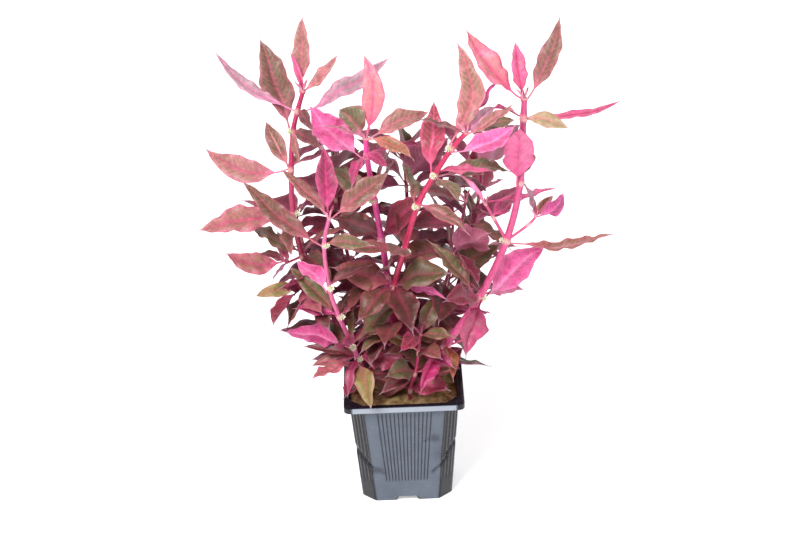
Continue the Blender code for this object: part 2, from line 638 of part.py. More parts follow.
def tube(course, sides=STEM_SIDES):
    """A closed tube along the centres, its rings turned as little as they can be."""
    centres = [c for c, _ in course]
    side = np.array([1.0, 0.0, 0.0])
    rings = []
    for i, (centre, radius) in enumerate(course):
        along = unit(centres[min(i + 1, len(centres) - 1)] - centres[max(i - 1, 0)])
        side = unit(side - along * (side @ along))
        other = np.cross(along, side)
        rings.append([centre + radius * (math.cos(a) * side + math.sin(a) * other) for a in
                      [2 * math.pi * n / sides for n in range(sides)]])
    return lofted(rings)


def direction(heading, rise):
    h = math.radians(heading)
    r = math.radians(rise)
    return np.array([math.cos(r) * math.cos(h), math.cos(r) * math.sin(h), math.sin(r)])


def blade_half_width(leaf, share):
    """Half the blade's width at a share of its length: narrow stalk, widest before the middle, long tip."""
    if share <= PETIOLE_SHARE:
        return PETIOLE_RADIUS
    s = (share - PETIOLE_SHARE) / (1 - PETIOLE_SHARE)
    widest = WIDEST_POWER / (WIDEST_POWER + TIP_POWER)
    peak = widest ** WIDEST_POWER * (1 - widest) ** TIP_POWER
    swell = s ** WIDEST_POWER * (1 - s) ** TIP_POWER / peak
    return PETIOLE_RADIUS + (leaf.width / 2 - PETIOLE_RADIUS) * swell


def roll_to_light(leaf, middle, up, side):
    """How far the blade turns its upper face up and out of the crowd of leaves, in degrees."""
    if leaf.roll is not None:
        return leaf.roll
    outward = unit(np.array([middle[0], middle[1], 0.0]))
    wanted = np.array([0.0, 0.0, 1.0]) + LIGHT_LEAN * outward
    roll = math.degrees(math.atan2(wanted @ side, wanted @ up))
    return max(-MOST_ROLL, min(MOST_ROLL, roll))


def leaf_section(leaf, base, tip, share):
    """The middle of the blade at a share of its length, with its side and its upper normal there."""
    chord = unit(tip - base)
    length = np.linalg.norm(tip - base)
    h = math.radians(leaf.heading)
    side = np.array([math.sin(h), -math.cos(h), 0.0])
    up = np.cross(side, chord)
    roll = roll_to_light(leaf, (base + tip) / 2, up, side)
    bend = (base + tip) / 2 + length * (leaf.bow * up + leaf.sweep * side)
    centre = (1 - share) ** 2 * base + 2 * share * (1 - share) * bend + share ** 2 * tip
    along = unit((1 - share) * (bend - base) + share * (tip - bend))
    up = unit(up - along * (up @ along))
    side = np.cross(along, up)
    turn = math.radians(roll * min(1.0, share / TWIST_FROM) + leaf.twist * (share - TWIST_FROM))
    normal = math.cos(turn) * up + math.sin(turn) * side
    return centre, np.cross(along, normal), normal


def leaf_solid(leaf, base, tip, extra=0.0, start=None):
    """The leaf as a thin closed solid, folded along its midrib, with a pointed tip.

    Each section runs from one edge over the midrib to the other edge and back under it. Plain leaves do
    without the point above the midrib. A leaf that is fused to its stem starts from a point inside it. Where
    it is only measured, it starts outside the stem instead.
    """
    stations = leaf.stations if start is None else (start,) + leaf.stations
    points = []
    for share in stations:
        centre, side, normal = leaf_section(leaf, base, tip, share)
        half = blade_half_width(leaf, share) + extra
        thick = PETIOLE_RADIUS if share <= PETIOLE_SHARE else BLADE_THICKNESS / 2
        closing = math.radians(leaf.fold) if share > PETIOLE_SHARE else 0.0
        reach = half * math.cos(closing)
        lift = half * math.sin(closing)
        points.append(centre + reach * side + lift * normal)
        if not leaf.plain:
            points.append(centre + (thick + extra) * normal)
        points.append(centre - reach * side + lift * normal)
        points.append(centre - (thick + extra) * normal)
    corners = len(points) // len(stations)
    last = len(points) - corners
    faces = []
    for low in range(0, last, corners):
        for i in range(corners):
            j = (i + 1) % corners
            quad = (low + i, low + corners + i, low + corners + j, low + j)
            if i % 2 == corners % 2:
                quad = quad[1:] + quad[:1]
            faces += [quad[:3], (quad[0], quad[2], quad[3])]
    points.append(tip + extra * unit(tip - base))
    faces += [(last + (i + 1) % corners, last + i, len(points) - 1) for i in range(corners)]
    if leaf.own or start is not None:
        faces.append(tuple(range(corners)))
    else:
        points.append(base)
        faces += [(i, (i + 1) % corners, len(points) - 1) for i in range(corners)]
    return points, faces


class Plant:
    """Where the nodes are and what already takes up room."""

    def __init__(self):
        self.nodes = {}
        self.courses = {}
        self.owner = {}
        self.taken = []
        self.tree = None

    def add_stem(self, name, owner, points, radius, tip_share, swelling):
        """Keeps the stem's nodes and gives its solid."""
        self.nodes[name] = stem_nodes(points, radius, tip_share)
        self.courses[name] = stem_course(self.nodes[name], swelling)
        self.owner[name] = owner
        return tube(self.courses[name])

    def take(self, solid):
        """Marks the room of a solid as taken."""
        self.taken.append(solid)
        points = []
        faces = []
        for some_points, some_faces in self.taken:
            start = len(points)
            points += [tuple(p) for p in some_points]
            faces += [tuple(start + i for i in face) for face in some_faces]
        self.tree = BVHTree.FromPolygons(points, faces)

    def is_free(self, solid):
        points, faces = solid
        tree = BVHTree.FromPolygons([tuple(p) for p in points], faces)
        return min(p[2] for p in points) > LOWEST_BLADE and not self.tree.overlap(tree)

    def ends(self, leaf):
        """Where the leaf starts and ends. An own leaf starts a hair off the stem, the others in it."""
        node, radius, along = self.nodes[leaf.stem][leaf.node]
        towards = direction(leaf.heading, leaf.rise)
        outward = unit(towards - along * (towards @ along))
        tip = node + leaf.length * towards
        if leaf.own:
            return node + (radius * NODE_SWELLING + PETIOLE_RADIUS + GAP) * outward, tip
        is_last = leaf.node == len(self.nodes[leaf.stem]) - 1
        lift = -AXIL_LIFT if is_last else AXIL_LIFT
        return node - FUSED_DEPTH * radius * outward + lift * along, tip

    def solid(self, leaf):
        return leaf_solid(leaf, *self.ends(leaf))

    def measured(self, leaf):
        """The leaf with some room around it. One that is fused to its stem is measured from the stem on."""
        start = None
        if not leaf.own:
            radius = self.nodes[leaf.stem][leaf.node][1]
            clear_of_stem = STEM_ROOM * radius * NODE_SWELLING + PETIOLE_RADIUS + 2 * CLEARANCE
            start = min(clear_of_stem / leaf.length, 0.95 * PETIOLE_SHARE)
        return leaf_solid(leaf, *self.ends(leaf), CLEARANCE, start)


def turns(most_heading, most_rise):
    """Ways to turn a leaf aside, the smallest first."""
    tried = []
    for heading in range(-most_heading, most_heading + 1, TURN_STEP):
        for rise in range(-most_rise, most_rise + 1, TURN_STEP):
            tried.append((heading, rise))
    return sorted(tried, key=lambda turn: (abs(turn[0]) + abs(turn[1]), turn))


def place(plant, leaf, most_heading, most_rise):
    """Turns the leaf aside from what it would touch, in small steps, and says whether it found room."""
    heading = leaf.heading
    rise = leaf.rise
    for h, r in turns(most_heading, most_rise):
        leaf.heading = heading + h
        leaf.rise = rise + r
        if plant.is_free(plant.measured(leaf)):
            plant.take(plant.solid(leaf))
            return True
    leaf.heading = heading
    leaf.rise = rise
    return False


def hidden_leaves():
    """Opposite pairs, each a quarter turn from the pair below, for nodes that the front doesn't show."""
    chance = random.Random(HIDDEN_SEED)
    made = []
    for stem, first, last, length, width, rise in HIDDEN_PAIRS:
        start = chance.uniform(0, 180)
        for node in range(first, last + 1):
            for half_turn in (0, 180):
                made.append(Leaf(
                    stem, node,
                    start + DECUSSATE_TURN * node + half_turn + chance.uniform(-15, 15),
                    rise + HIDDEN_RISE_STEP * (node - first) + chance.uniform(-10, 10),
                    length * chance.uniform(0.75, 1.1),
                    width * chance.uniform(0.8, 1.1),
                    chance.choice(HIDDEN_COLOURS),
                    bow=chance.uniform(0.02, 0.2),
                    fold=HIDDEN_FOLD,
                    plain=True,
                ))
    return made


def flower_solid(plant, stem, node, heading):
    """A small lump of eight faces against the stem, just above its node."""
    middle, radius, along = plant.nodes[stem][node]
    outward = direction(heading, 0)
    offset = FLOWER_OFFSET * FLOWER_RADIUS
    centre = middle + (FLOWER_SEAT * radius + offset) * outward + offset * along
    ring = [centre + FLOWER_RADIUS * direction(heading + 90 * i, 0) for i in range(4)]
    points = ring + [centre + np.array([0, 0, FLOWER_RADIUS]), centre - np.array([0, 0, FLOWER_RADIUS])]
    faces = [(i, (i + 1) % 4, 4) for i in range(4)] + [((i + 1) % 4, i, 5) for i in range(4)]
    return points, faces


def clear_scene():
    for made in list(bpy.data.objects):
        bpy.data.objects.remove(made)


def pot_room():
    """The room that the filled pot takes, for keeping the leaves clear of it."""
    return lofted([
        bevelled_square(NECK_HALF - 2, POT_HEIGHT - 12),
        rounded_square(RIM_HALF + GAP, POT_HEIGHT - FLANGE_DROP - GAP),
        rounded_square(RIM_HALF + GAP, POT_HEIGHT + GAP),
        bevelled_square(NECK_HALF - WALL, POT_HEIGHT + GAP),
        bevelled_square(NECK_HALF - WALL - 1, WOOL_TOP + WOOL_CROWN + GAP),
    ])


def main():
    clear_scene()
    plant = Plant()
    pieces = {}
    for stem, (radius, points) in STEMS.items():
        pieces[stem] = [plant.add_stem(stem, stem, points, radius, TIP_SHARE, NODE_SWELLING)]
    for stem, (radius, points) in INNER_STEMS.items():
        pieces[stem] = [plant.add_stem(stem, stem, points, radius, TIP_SHARE, 1.0)]
    for shoot, (stem, node, radius, points) in SHOOTS.items():
        course = [STEMS[stem][1][node]] + points
        pieces[stem].append(plant.add_stem(shoot, stem, course, radius, SHOOT_TIP_SHARE, NODE_SWELLING))

    plant.take(pot_room())
    for group in pieces.values():
        for solid in group:
            plant.take(solid)
    for stem, node, heading in FLOWERS:
        lump = flower_solid(plant, stem, node, heading)
        pieces[plant.owner[stem]].append(lump)
        plant.take(lump)

    grown = sorted(LEAVES + DEEPER_LEAVES, key=lambda leaf: (not leaf.own, leaf.plain))
    placed = [leaf for leaf in grown if place(plant, leaf, *PHOTO_TURNS)]
    placed += [leaf for leaf in hidden_leaves() if place(plant, leaf, *HIDDEN_TURNS)]
    counts = {}
    for leaf in placed:
        stem = plant.owner[leaf.stem]
        if leaf.own:
            counts[stem] = counts.get(stem, 0) + 1
            name = stem.replace("_stem", "_leaf_") + str(counts[stem])
            look = material(leaf.colour + " leaf", leaf.colour, 0.45)
            smooth(mesh_object(name, plant.solid(leaf), look))
        else:
            pieces[stem].append(plant.solid(leaf))

    for stem, group in pieces.items():
        made = mesh_object(stem, group[0], material("alternanthera stem", "stem", 0.45))
        helpers = [mesh_object("grown", solid) for solid in group[1:]]
        combined(made, helpers, "UNION")
        smooth(made)
    build_pot()
    build_wool([plant.courses[stem] for stem in pieces])


main()
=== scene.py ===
"""The potted alternanthera reineckii, dressed for the camera.

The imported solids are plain. This script grows the same plant again from the same named sizes, with the
same rules for where each leaf finds room, and gives every solid its fine form: thin two-sided blades with
veins and wavy margins, ribbed stems with swollen joints, flower heads, a fluted pot and a fibrous block.

Lengths are in millimetres until a mesh is made. +Z is up and the pot's front faces -Y. A heading is the
compass direction of a leaf seen from above: 0 right, 90 back, 180 left, 270 front. A rise is its angle
above level.
"""

import math
import random

import bmesh
import bpy
import numpy as np
from mathutils import Matrix, Vector
from mathutils.bvhtree import BVHTree


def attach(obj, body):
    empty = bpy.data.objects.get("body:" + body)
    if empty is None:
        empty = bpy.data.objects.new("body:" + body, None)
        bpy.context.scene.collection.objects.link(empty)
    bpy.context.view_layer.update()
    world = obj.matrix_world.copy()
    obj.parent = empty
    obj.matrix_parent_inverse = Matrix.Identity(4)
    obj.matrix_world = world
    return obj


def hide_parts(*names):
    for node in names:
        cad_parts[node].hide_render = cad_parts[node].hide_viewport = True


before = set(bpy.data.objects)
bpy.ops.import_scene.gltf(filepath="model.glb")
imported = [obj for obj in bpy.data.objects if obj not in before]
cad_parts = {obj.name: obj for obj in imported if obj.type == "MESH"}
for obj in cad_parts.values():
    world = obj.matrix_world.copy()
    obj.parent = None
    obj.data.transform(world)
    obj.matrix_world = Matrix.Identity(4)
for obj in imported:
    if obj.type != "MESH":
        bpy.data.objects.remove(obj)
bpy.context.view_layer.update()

# A millimetre in metres, and the gap that is left between neighbouring pieces.
MM = 0.001
GAP = 0.3

# The pot: a thin square cup, wider at the top, with bevelled corners, a flange that turns down and four
# pads as feet. The flange's own corners are round.
POT_HEIGHT = 87.0
BASE_HALF = 34.0
NECK_HALF = 41.2
RIM_HALF = 45.0
CORNER_BEVEL = 10.0
RIM_CORNER_RADIUS = 5.0
WALL = 1.0
FLANGE_DROP = 5.0
FLOOR_THICKNESS = 1.2
CHANNEL_HEIGHT = 3.7
CHANNEL_HALF_LOW = 11.0
CHANNEL_HALF_HIGH = 6.5
CHANNEL_BAR_LOW = 0.5
BOSS_RADIUS = 8.0
BOSS_SIDES = 8
DRAIN_RADIUS = 3.0
DRAIN_RING = 15.0
DRAIN_SIDES = 6
CUT_BEYOND = 4.0

# The fluted panel in the middle of each wall.
FLUTES = 14
FLUTE_BOTTOM = 17.0
FLUTE_TOP = 80.0
PANEL_HALF_LOW = 16.5
PANEL_HALF_HIGH = 21.5
FLUTE_MARGIN = 1.3

# The block of mineral wool that fills the pot.
WOOL_TOP = 83.0
WOOL_CROWN = 1.2
FOOT_DEPTH = 66.0

# Stems and leaves.
STEM_SIDES = 5
NODE_SWELLING = 1.25
TIP_SHARE = 0.62
SHOOT_TIP_SHARE = 0.8
FUSED_DEPTH = 0.4
PETIOLE_RADIUS = 0.7
BLADE_THICKNESS = 0.9
PETIOLE_SHARE = 0.12
WIDEST_POWER = 1.05
TIP_POWER = 1.5
LONG_STATIONS = (0.0, 0.12, 0.3, 0.52, 0.76)
SHORT_STATIONS = (0.0, 0.14, 0.4, 0.72)
SMALL_STATIONS = (0.12, 0.35, 0.68)
COARSE_STATIONS = (0.12, 0.48)
SHORT_LEAF = 50.0
SMALLEST_LEAF = 38.0
TWIST_FROM = 0.3
AXIL_LIFT = 1.8
LIGHT_LEAN = 1.0
MOST_ROLL = 55.0
FLOWER_RADIUS = 2.1
FLOWER_OFFSET = 0.4
FLOWER_SEAT = 0.9

# The room that is kept round a leaf. It is measured from where it leaves its stem, still within its stalk.
CLEARANCE = 0.35
STEM_ROOM = 1.4
LATEST_START = 0.95

# How far a leaf may be turned to stay clear of the others, in heading and in rise, in degrees.
TURN_STEP = 4
PHOTO_TURNS = (24, 16)
HIDDEN_TURNS = (44, 24)

# The room of the filled pot: how far down it is measured, and how far in from the neck and from the wool.
POT_ROOM_DEPTH = 12.0
POT_ROOM_INSET = 2.0
WOOL_ROOM_INSET = 1.0

# The fine form of a blade: sections along it and points across it, on own leaves and on small ones.
OWN_SECTIONS = 44
OWN_ACROSS = 12
SMALL_SECTIONS = 24
SMALL_ACROSS = 8
ACROSS_POWER = 0.9

# A blade's outline: how its stalk opens, how it tapers to a hair, and how much wider deep blades are.
PETIOLE_FADE = 0.12
TIP_TAPER = 0.1
HAIR_TIP = 0.05
HAIR_HALF = 0.2
DEEP_WIDENING = 1.2

# A blade's thickness to each side of its middle, thinner at its margin and fuller at its stalk.
BLADE_SKIN = 0.13
MARGIN_SKIN = 0.35
NARROW_SKIN = 0.8
STALK_ABOVE = 0.3
STALK_BELOW = 0.5

# The midrib stands out below and is sunk above. It is painted a little narrower than it is shaped.
MIDRIB_DEPTH = 0.5
MIDRIB_GROOVE = 0.12
MIDRIB_HALF = 0.55
MIDRIB_FADE = 0.75
MIDRIB_PAINT = 1.15
MIDRIB_PAINT_HALF = 0.8

# The side veins, and the quilting between them, which has its full depth from some half width on.
VEIN_SPACING = 4.4
VEIN_SLANT = 0.75
VEIN_BEND = 0.035
QUILT_DEPTH = 0.22
QUILT_REACH = 1.02
FULL_QUILT_HALF = 5.0

# The margin: its waves, which have their full height from some half width on, and how it rolls.
MARGIN_WAVE = 0.8
MARGIN_WAVE_LENGTH = 12.0
MARGIN_WAVE_POWER = 2.2
FULL_WAVE_HALF = 4.0
RIPPLE_LENGTH = 0.57
RIPPLE_SIZE = 0.4
MARGIN_ROLL = 0.5
MARGIN_ROLL_POWER = 6
HALF_BULGE = 0.10
BULGE_BY_CURL = 0.05

# The two waves of the half width: their lengths in margin waves, and their sizes.
WIDTH_WAVES = ((1.9, 0.7), (0.8, 0.3))

# How far the midrib wanders, in blade lengths, and its waves: turns along the blade and size of each.
SPINE_WANDER = 0.022
SPINE_ASIDE = ((0.9, 1.0), (2.1, 0.45))
SPINE_LIFT = ((1.3, 1.0), (2.6, 0.4))
SPINE_ASIDE_SHARE = 0.55
SPINE_FADE = 0.7

# How one blade differs from the next: the least and the most of what chance gives it. Tilts are in degrees.
WAVE_LENGTHS = (0.85, 1.35)
WAVE_HEIGHTS = (0.7, 1.5)
WANDERS = (0.6, 1.3)
UNEVEN_WIDTHS = (0.06, 0.16)
HALF_TILTS = (-9, 9)
CURLS = (-0.5, 1.0)
SHADES = (0.88, 1.12)
WAVE_STARTS = 8

# How leaf colours change with height, from old leaves low down to young ones at the top. The darkening low
# down and the paler, duller tones at the top also paint the light from above: painted shade below, a
# painted haze above. Deep leaves get painted shade, and bright looks are dulled less than others.
OLD_BELOW = 165.0
YOUNG_ABOVE = 290.0
SHADED_DEPTH = 0.86
BRIGHT_DULLED = 0.25
YOUNG_HAZED_DULLNESS = 0.26
OLD_SHADED_DEPTH = 0.74
YOUNG_LIT_DEPTH = 1.12
GREY_WEIGHTS = (0.4, 0.4, 0.2)

# Fine stems: a little thinner between their joints, with faint ribs.
FINE_STEM_SIDES = 14
FINE_STEM_STEP = 1.6
LEAST_STEM_STEPS = 3
JOINT_REACH = 2.6
INNER_SWELLING = 1.15
STEM_WAIST = 0.06
STEM_RIBS = 5
STEM_RIB_DEPTH = 0.05

# The painted streaks of a stem: how many lie round each half of it, and how long each is.
STREAKS_AROUND = 7.5
STREAK_LENGTH = 4.0

# The youngest leaves at the top of a stem: length, width, heading, rise. A shoot has smaller ones.
TIP_LEAVES = ((9.0, 2.6, 40, 62), (12.0, 3.2, 215, 55), (7.0, 2.0, 130, 75), (8.0, 2.4, 300, 68))
SHOOT_TIP_SIZE = 0.7
TIP_LEAF_BOW = -0.1
TIP_LEAF_FOLD = 35
TIP_LEAF_SINK = 0.3
TIP_LEAF_SEED = 900

# A flower head, in shares of its radius: its green heart's rings by height and radius, then its scales.
HEART_RINGS = ((-0.55, 0.5), (0.0, 0.8), (0.5, 0.5))
HEART_SIDES = 6
BRACTS = 22
BRACT_SPREAD = 1.55
BRACT_TURN = 2.39996
BRACT_STRAY = 0.2
BRACT_ROOT = 0.55
BRACT_REACHES = (0.75, 1.05)
BRACT_HALF = 0.27
BRACT_THICKNESS = 0.06
BRACT_KEEL = 0.08
BRACT_FACE_LEAN = 0.9
BRACT_TIP_LEAN = 0.45
BRACT_BELLY_LEAN = 0.2

# How pale a flower head is: its heart, and a scale at its root, one side, tip, other side, keel and back.
HEART_PALENESS = 0.1
BRACT_PALENESS = (0.2, 0.7, 1.0, 0.7, 0.75, 0.6)

# How far a head leans towards its stem's own direction, a direction that no head points in, and a length
# that is too small to show.
FLOWER_RISE = 0.6
FLOWER_SEED = 300
ANY_WAY = (0.31, 0.2, 0.93)
TINY = 1e-6

# The looks of a leaf: upper ground, upper patches, upper veins, lower ground, lower patches, lower veins.
LOOKS = {
    "olive": ("7c6444", "64683a", "c0606a", "a85a78", "9c6a70", "dc80a4"),
    "tan": ("aa8858", "8c8a4c", "cc7c74", "b47c80", "a88078", "dc9ca4"),
    "brown": ("8c4c42", "6c5634", "cc5470", "b84878", "98505c", "e478a4"),
    "orange": ("a85638", "845c30", "d85c58", "c06068", "a8684c", "e48888"),
    "maroon": ("743038", "5e4430", "b0485c", "94304c", "74343c", "bc4c74"),
    "rosy": ("b0605e", "886040", "e0607c", "d0608c", "b8606c", "f088b0"),
    "salmon": ("c66874", "9c6c54", "dc5484", "d06c88", "b87878", "e45c94"),
    "mauve": ("b07088", "94787a", "d85494", "b470a0", "a880a8", "d85cb4"),
    "pale_pink": ("e07890", "bc7470", "e4447c", "f08cb8", "dc90a4", "e4488c"),
    "pink": ("dc5088", "b05c70", "c8306c", "e45c94", "cc6c90", "cc3c78"),
    "hot_pink": ("e03c84", "b84874", "d02468", "e03484", "e05c9c", "f08cbc"),
    "magenta": ("b43068", "84384c", "dc4c8c", "c4307c", "a44078", "e870ac"),
    "crimson": ("a42c4c", "783838", "d8507c", "b02c5c", "902c4c", "dc6494"),
}
DEEP_LOOKS = {"magenta": "crimson", "crimson": "brown"}
BRIGHT_LOOKS = ("pale_pink", "pink", "hot_pink", "magenta", "crimson")

# How strongly the small relief of a leaf skin shows. The lower skin is rougher.
UPPER_RELIEF = 0.38
LOWER_RELIEF = 0.5

# How wide the spots of each finish are. A real leaf's net of smallest veins is finer than the one here,
# which is as coarse as it needs to be to show.
LEAF_PATCH = 14.3
LEAF_MOTTLE = 3.85
LEAF_NET = 1.11
BRACT_SPECK = 0.71
WATER_MARK = 18.2
POT_SPECK = 0.91
DAMP_PATCH = 8.3
WOOL_GRAIN = 1.11

# The place of each skin in a piece's list of materials.
UPPER_SKIN, LOWER_SKIN, STEM_SKIN, BRACT_SKIN = range(4)

# The tone of each stem.
STEM_TONES = {
    "left_stem": "b02c58",
    "front_left_stem": "cc5c8c",
    "centre_left_stem": "e84c9c",
    "centre_stem": "c02c58",
    "right_stem": "c44c7c",
    "front_stem": "a82c54",
}
INNER_STEM_TONE = "8c2c4c"

# The camera that was fitted to the pot in the photo: its focal length and the photo's width in pixels, then
# its pitch and roll in degrees, and the place that it looks at.
PHOTO_FOCAL = 2450.0
PHOTO_WIDTH = 800
SENSOR_WIDTH = 36.0
CAMERA_PITCH = 25.9
CAMERA_ROLL = -2.2
CAMERA_TARGET = (0.9, 0.0, 180.7)
CAMERA_DISTANCE = 1813.5
CLIP_METRES = (0.05, 30.0)

# The fine pot's grooves and panel. A groove's outline is in shares of its half width and its depth.
GROOVE_HALF = 0.62
GROOVE_DEPTH = 0.45
GROOVE_OUTLINE = ((-1.0, 0.0), (-0.45, 0.75), (0.0, 1.0), (0.45, 0.75), (1.0, 0.0))
PANEL_SINK = 0.25
PANEL_CLEAR = 1.5
EDGE_FADE = 1.6
PLAIN_POINTS = 9

# Its bevelled corners, with their ribs and rounded edges, and the rim's round ones.
CORNER_RIBS = 4
CORNER_RIB_DEPTH = 0.4
CORNER_RIB_POWER = 1.5
CORNER_POINTS = 29
EDGE_ROUNDING = 0.35
EDGE_SHARE = 0.14
FLAT_BULGE = 0.0
ROUND_BULGE = 0.293

# The heights and insets of its levels: the drawn-in foot, the plain wall under and over the flutes, the
# flange, the lip and the inside. An edge between faces that turn by more than the sharp angle stays sharp.
FOOT_INSET = 0.5
FOOT_EDGE = 0.6
LOW_LEVELS = (4.0, 8.0, 12.0)
FLUTE_LEVELS_FROM = 20.0
LEVEL_STEP = 1.4
HIGH_LEVEL = 82.0
NECK_EDGE = 0.4
FLANGE_INNER_LIFT = 0.2
FLANGE_EDGE = 0.4
FLANGE_ROUNDING = 0.6
LIP_ROUNDING = 0.8
LIP_SOFTENING = 0.3
INNER_LEVELS = 60
POT_SHARP_OVER = 28
PIECE_SHARP_OVER = 62
DRAIN_ROUNDNESS = 6
BOSS_ROUNDNESS = 5

# The painted sheen that makes the flat of each pot wall paler than its dark corners: how it fades to a
# wall's edge, its strength on the lip, where it is a painted highlight, the painted shade of the grooves
# and creases, which lack it, and how far inside the outer wall's place a level still has it, in walls.
SHEEN_EDGE = 1.5
LIP_HIGHLIGHT = 1.7
GROOVE_PAINTED_SHADE = 0.9
DENT_PAINTED_SHADE = 0.5
SHEEN_WALL_SHARE = 0.9

# The studio: the strength of its white sky, each lamp's place and size in metres and its power in watts,
# and the table's reach in metres, its own glow, and its paper's clouds in millimetres and their tones.
SKY_STRENGTH = 0.38
LAMPS = {
    "key soft box": ((-0.8, -1.3, 2.0), 1.0, 62.0),
    "fill soft box": ((1.4, -1.1, 1.1), 1.2, 9.0),
    "back soft box": ((0.3, 1.6, 1.8), 1.4, 16.0),
}
LAMP_AIM = (0.0, 0.0, 0.2)
TABLE_REACH = 6.0
TABLE_GLOW = 0.4
PAPER_CLOUD = 333.0
PAPER_TONES = ("f6f6f6", "fbfbfb")

# How far in front of the pot's middle the dents end, and where they have their full depth.
DENTS_END = 18.0
DENTS_FULL = 32.0

# The dents in the front of the pot: across, height, radius across, radius up, depth.
DENTS = (
    (22.5, 55.5, 3.6, 3.2, 1.8),
    (25.0, 42.0, 5.0, 8.0, 0.7),
    (-22.0, 28.0, 5.0, 2.4, 1.6),
)
# The creases beside them: across and height of both ends, half width, depth.
CREASES = (
    (-39.0, 45.0, -28.0, 33.0, 1.5, 1.5),
    (-28.0, 33.0, -17.0, 25.0, 1.3, 1.3),
    (14.0, 53.0, 23.0, 57.0, 0.9, 0.8),
    (20.0, 25.0, 31.0, 36.5, 1.2, 1.3),
    (31.0, 39.5, 38.0, 48.0, 1.2, 1.2),
)

# The block's fine top, with lumps of two sizes: radius, height, how many. Its foot stays shy of the wall.
WOOL_CELLS = 56
WOOL_SHY = 4.0
WOOL_SEED = 5
LUMPS = ((9.0, 0.5, 40), (3.5, 0.45, 260))
LUMP_REACH = 40

# The fibres that lie on it. They start some way in from its edge and its corners, and stop short of its
# edge.
FIBRES = 2200
FIBRE_RADIUS = 0.09
FIBRE_SIDES = 3
FIBRE_STEPS = 5
FIBRE_TURN = 0.5
FIBRE_LENGTHS = (3, 9)
FIBRE_LIFT = 0.15
FIBRE_ARCH = 0.5
FIBRE_EDGE = 2
FIBRE_CORNER = 3
FIBRE_STOP = 1

# Where each stem runs, node by node from its foot: (x, y, z). The leaves grow at these nodes.
STEMS = {
    "left_stem": (
        2.7,
        [(-22, 4, FOOT_DEPTH), (-22, 4, 88), (-42, 4, 124), (-60, 4, 160), (-71, 5, 190), (-76, 8, 223),
         (-76, 10, 258), (-73, 13, 286), (-69, 14, 302), (-64, 16, 317)],
    ),
    "front_left_stem": (
        2.3,
        [(-24, -12, FOOT_DEPTH), (-25, -13, 90), (-33, -21, 116), (-36, -24, 128), (-45, -30, 156),
         (-51, -36, 183), (-53, -42, 220), (-48, -46, 244)],
    ),
    "centre_left_stem": (
        3.1,
        [(-7, 4, FOOT_DEPTH), (-7, 4, 92), (-8, 2, 127), (-9, 2, 172), (-12, 1, 203), (-16, 0, 235),
         (-20, -2, 271), (-20, -3, 286)],
    ),
    "centre_stem": (
        2.9,
        [(-6, -9, FOOT_DEPTH), (-6, -10, 98), (-5, -14, 137), (-4, -16, 172), (4, -18, 201), (15, -20, 238),
         (28, -22, 263), (41, -24, 284), (52, -26, 297)],
    ),
    "right_stem": (
        3.5,
        [(14, -16, FOOT_DEPTH), (15, -17, 90), (32, -28, 127), (58, -26, 165), (79, -20, 208),
         (90, -16, 252), (93, -13, 300), (94, -12, 316)],
    ),
    "front_stem": (
        1.6,
        [(5, -28, FOOT_DEPTH), (5, -28, 91), (9, -33, 108), (12, -38, 128), (14, -42, 146)],
    ),
}

# The stems that the front hardly shows.
INNER_STEMS = {
    "middle_right_stem": (
        1.8,
        [(12, 2, FOOT_DEPTH), (13, 2, 92), (19, 3, 114), (26, 4, 138), (34, 5, 162), (41, 6, 186),
         (47, 6, 210), (51, 5, 230)],
    ),
    "back_left_stem": (
        1.9,
        [(-14, 18, FOOT_DEPTH), (-14, 18, 90), (-22, 29, 114), (-30, 39, 138), (-37, 47, 162),
         (-42, 54, 186), (-46, 59, 210), (-48, 62, 230)],
    ),
    "back_stem": (
        2.0,
        [(3, 22, FOOT_DEPTH), (3, 22, 92), (4, 32, 116), (5, 42, 141), (7, 50, 166), (8, 57, 191),
         (8, 62, 216), (7, 66, 238)],
    ),
    "back_right_stem": (
        1.9,
        [(18, 16, FOOT_DEPTH), (18, 16, 90), (30, 26, 114), (41, 34, 138), (50, 41, 162), (57, 47, 186),
         (62, 51, 210), (65, 54, 230)],
    ),
    "low_back_left_stem": (
        1.6,
        [(-26, 26, FOOT_DEPTH), (-26, 26, 88), (-40, 35, 106), (-54, 44, 128), (-66, 51, 154),
         (-73, 55, 180), (-76, 57, 200)],
    ),
    "low_back_right_stem": (
        1.6,
        [(26, 28, FOOT_DEPTH), (26, 28, 88), (32, 44, 108), (37, 58, 132), (41, 70, 158), (43, 79, 184),
         (42, 84, 202)],
    ),
}

# Side shoots: the stem and the node that each leaves from, its radius, and its own nodes.
SHOOTS = {
    "left_shoot": ("left_stem", 4, 1.0, [(-83, 0, 187)]),
    "lower_left_shoot": ("left_stem", 3, 1.1, [(-75, -4, 168)]),
    "inner_right_shoot": ("right_stem", 4, 1.3, [(70, -21, 227), (64, -24, 240)]),
    "outer_right_shoot": ("right_stem", 4, 1.1, [(95, -22, 221), (101, -24, 229)]),
    "flower_stalk": ("right_stem", 2, 0.9, [(50, -32, 136)]),
}


class Leaf:
    """One leaf: where it grows, where its tip points, and how its blade is bent."""

    def __init__(self, stem, node, heading, rise, length, width, colour, bow=0.1, sweep=0.0,
                 roll=None, twist=0.0, fold=20.0, own=False, plain=False):
        self.stem = stem
        self.node = node
        self.heading = heading
        self.rise = rise
        self.length = length
        self.width = width
        self.colour = colour
        self.bow = bow
        self.sweep = sweep
        self.roll = roll
        self.twist = twist
        self.fold = fold
        self.own = own
        self.plain = plain
        if own:
            self.stations = SHORT_STATIONS if length < SHORT_LEAF else LONG_STATIONS
        elif plain or length < SMALLEST_LEAF:
            self.stations = COARSE_STATIONS
        else:
            self.stations = SMALL_STATIONS


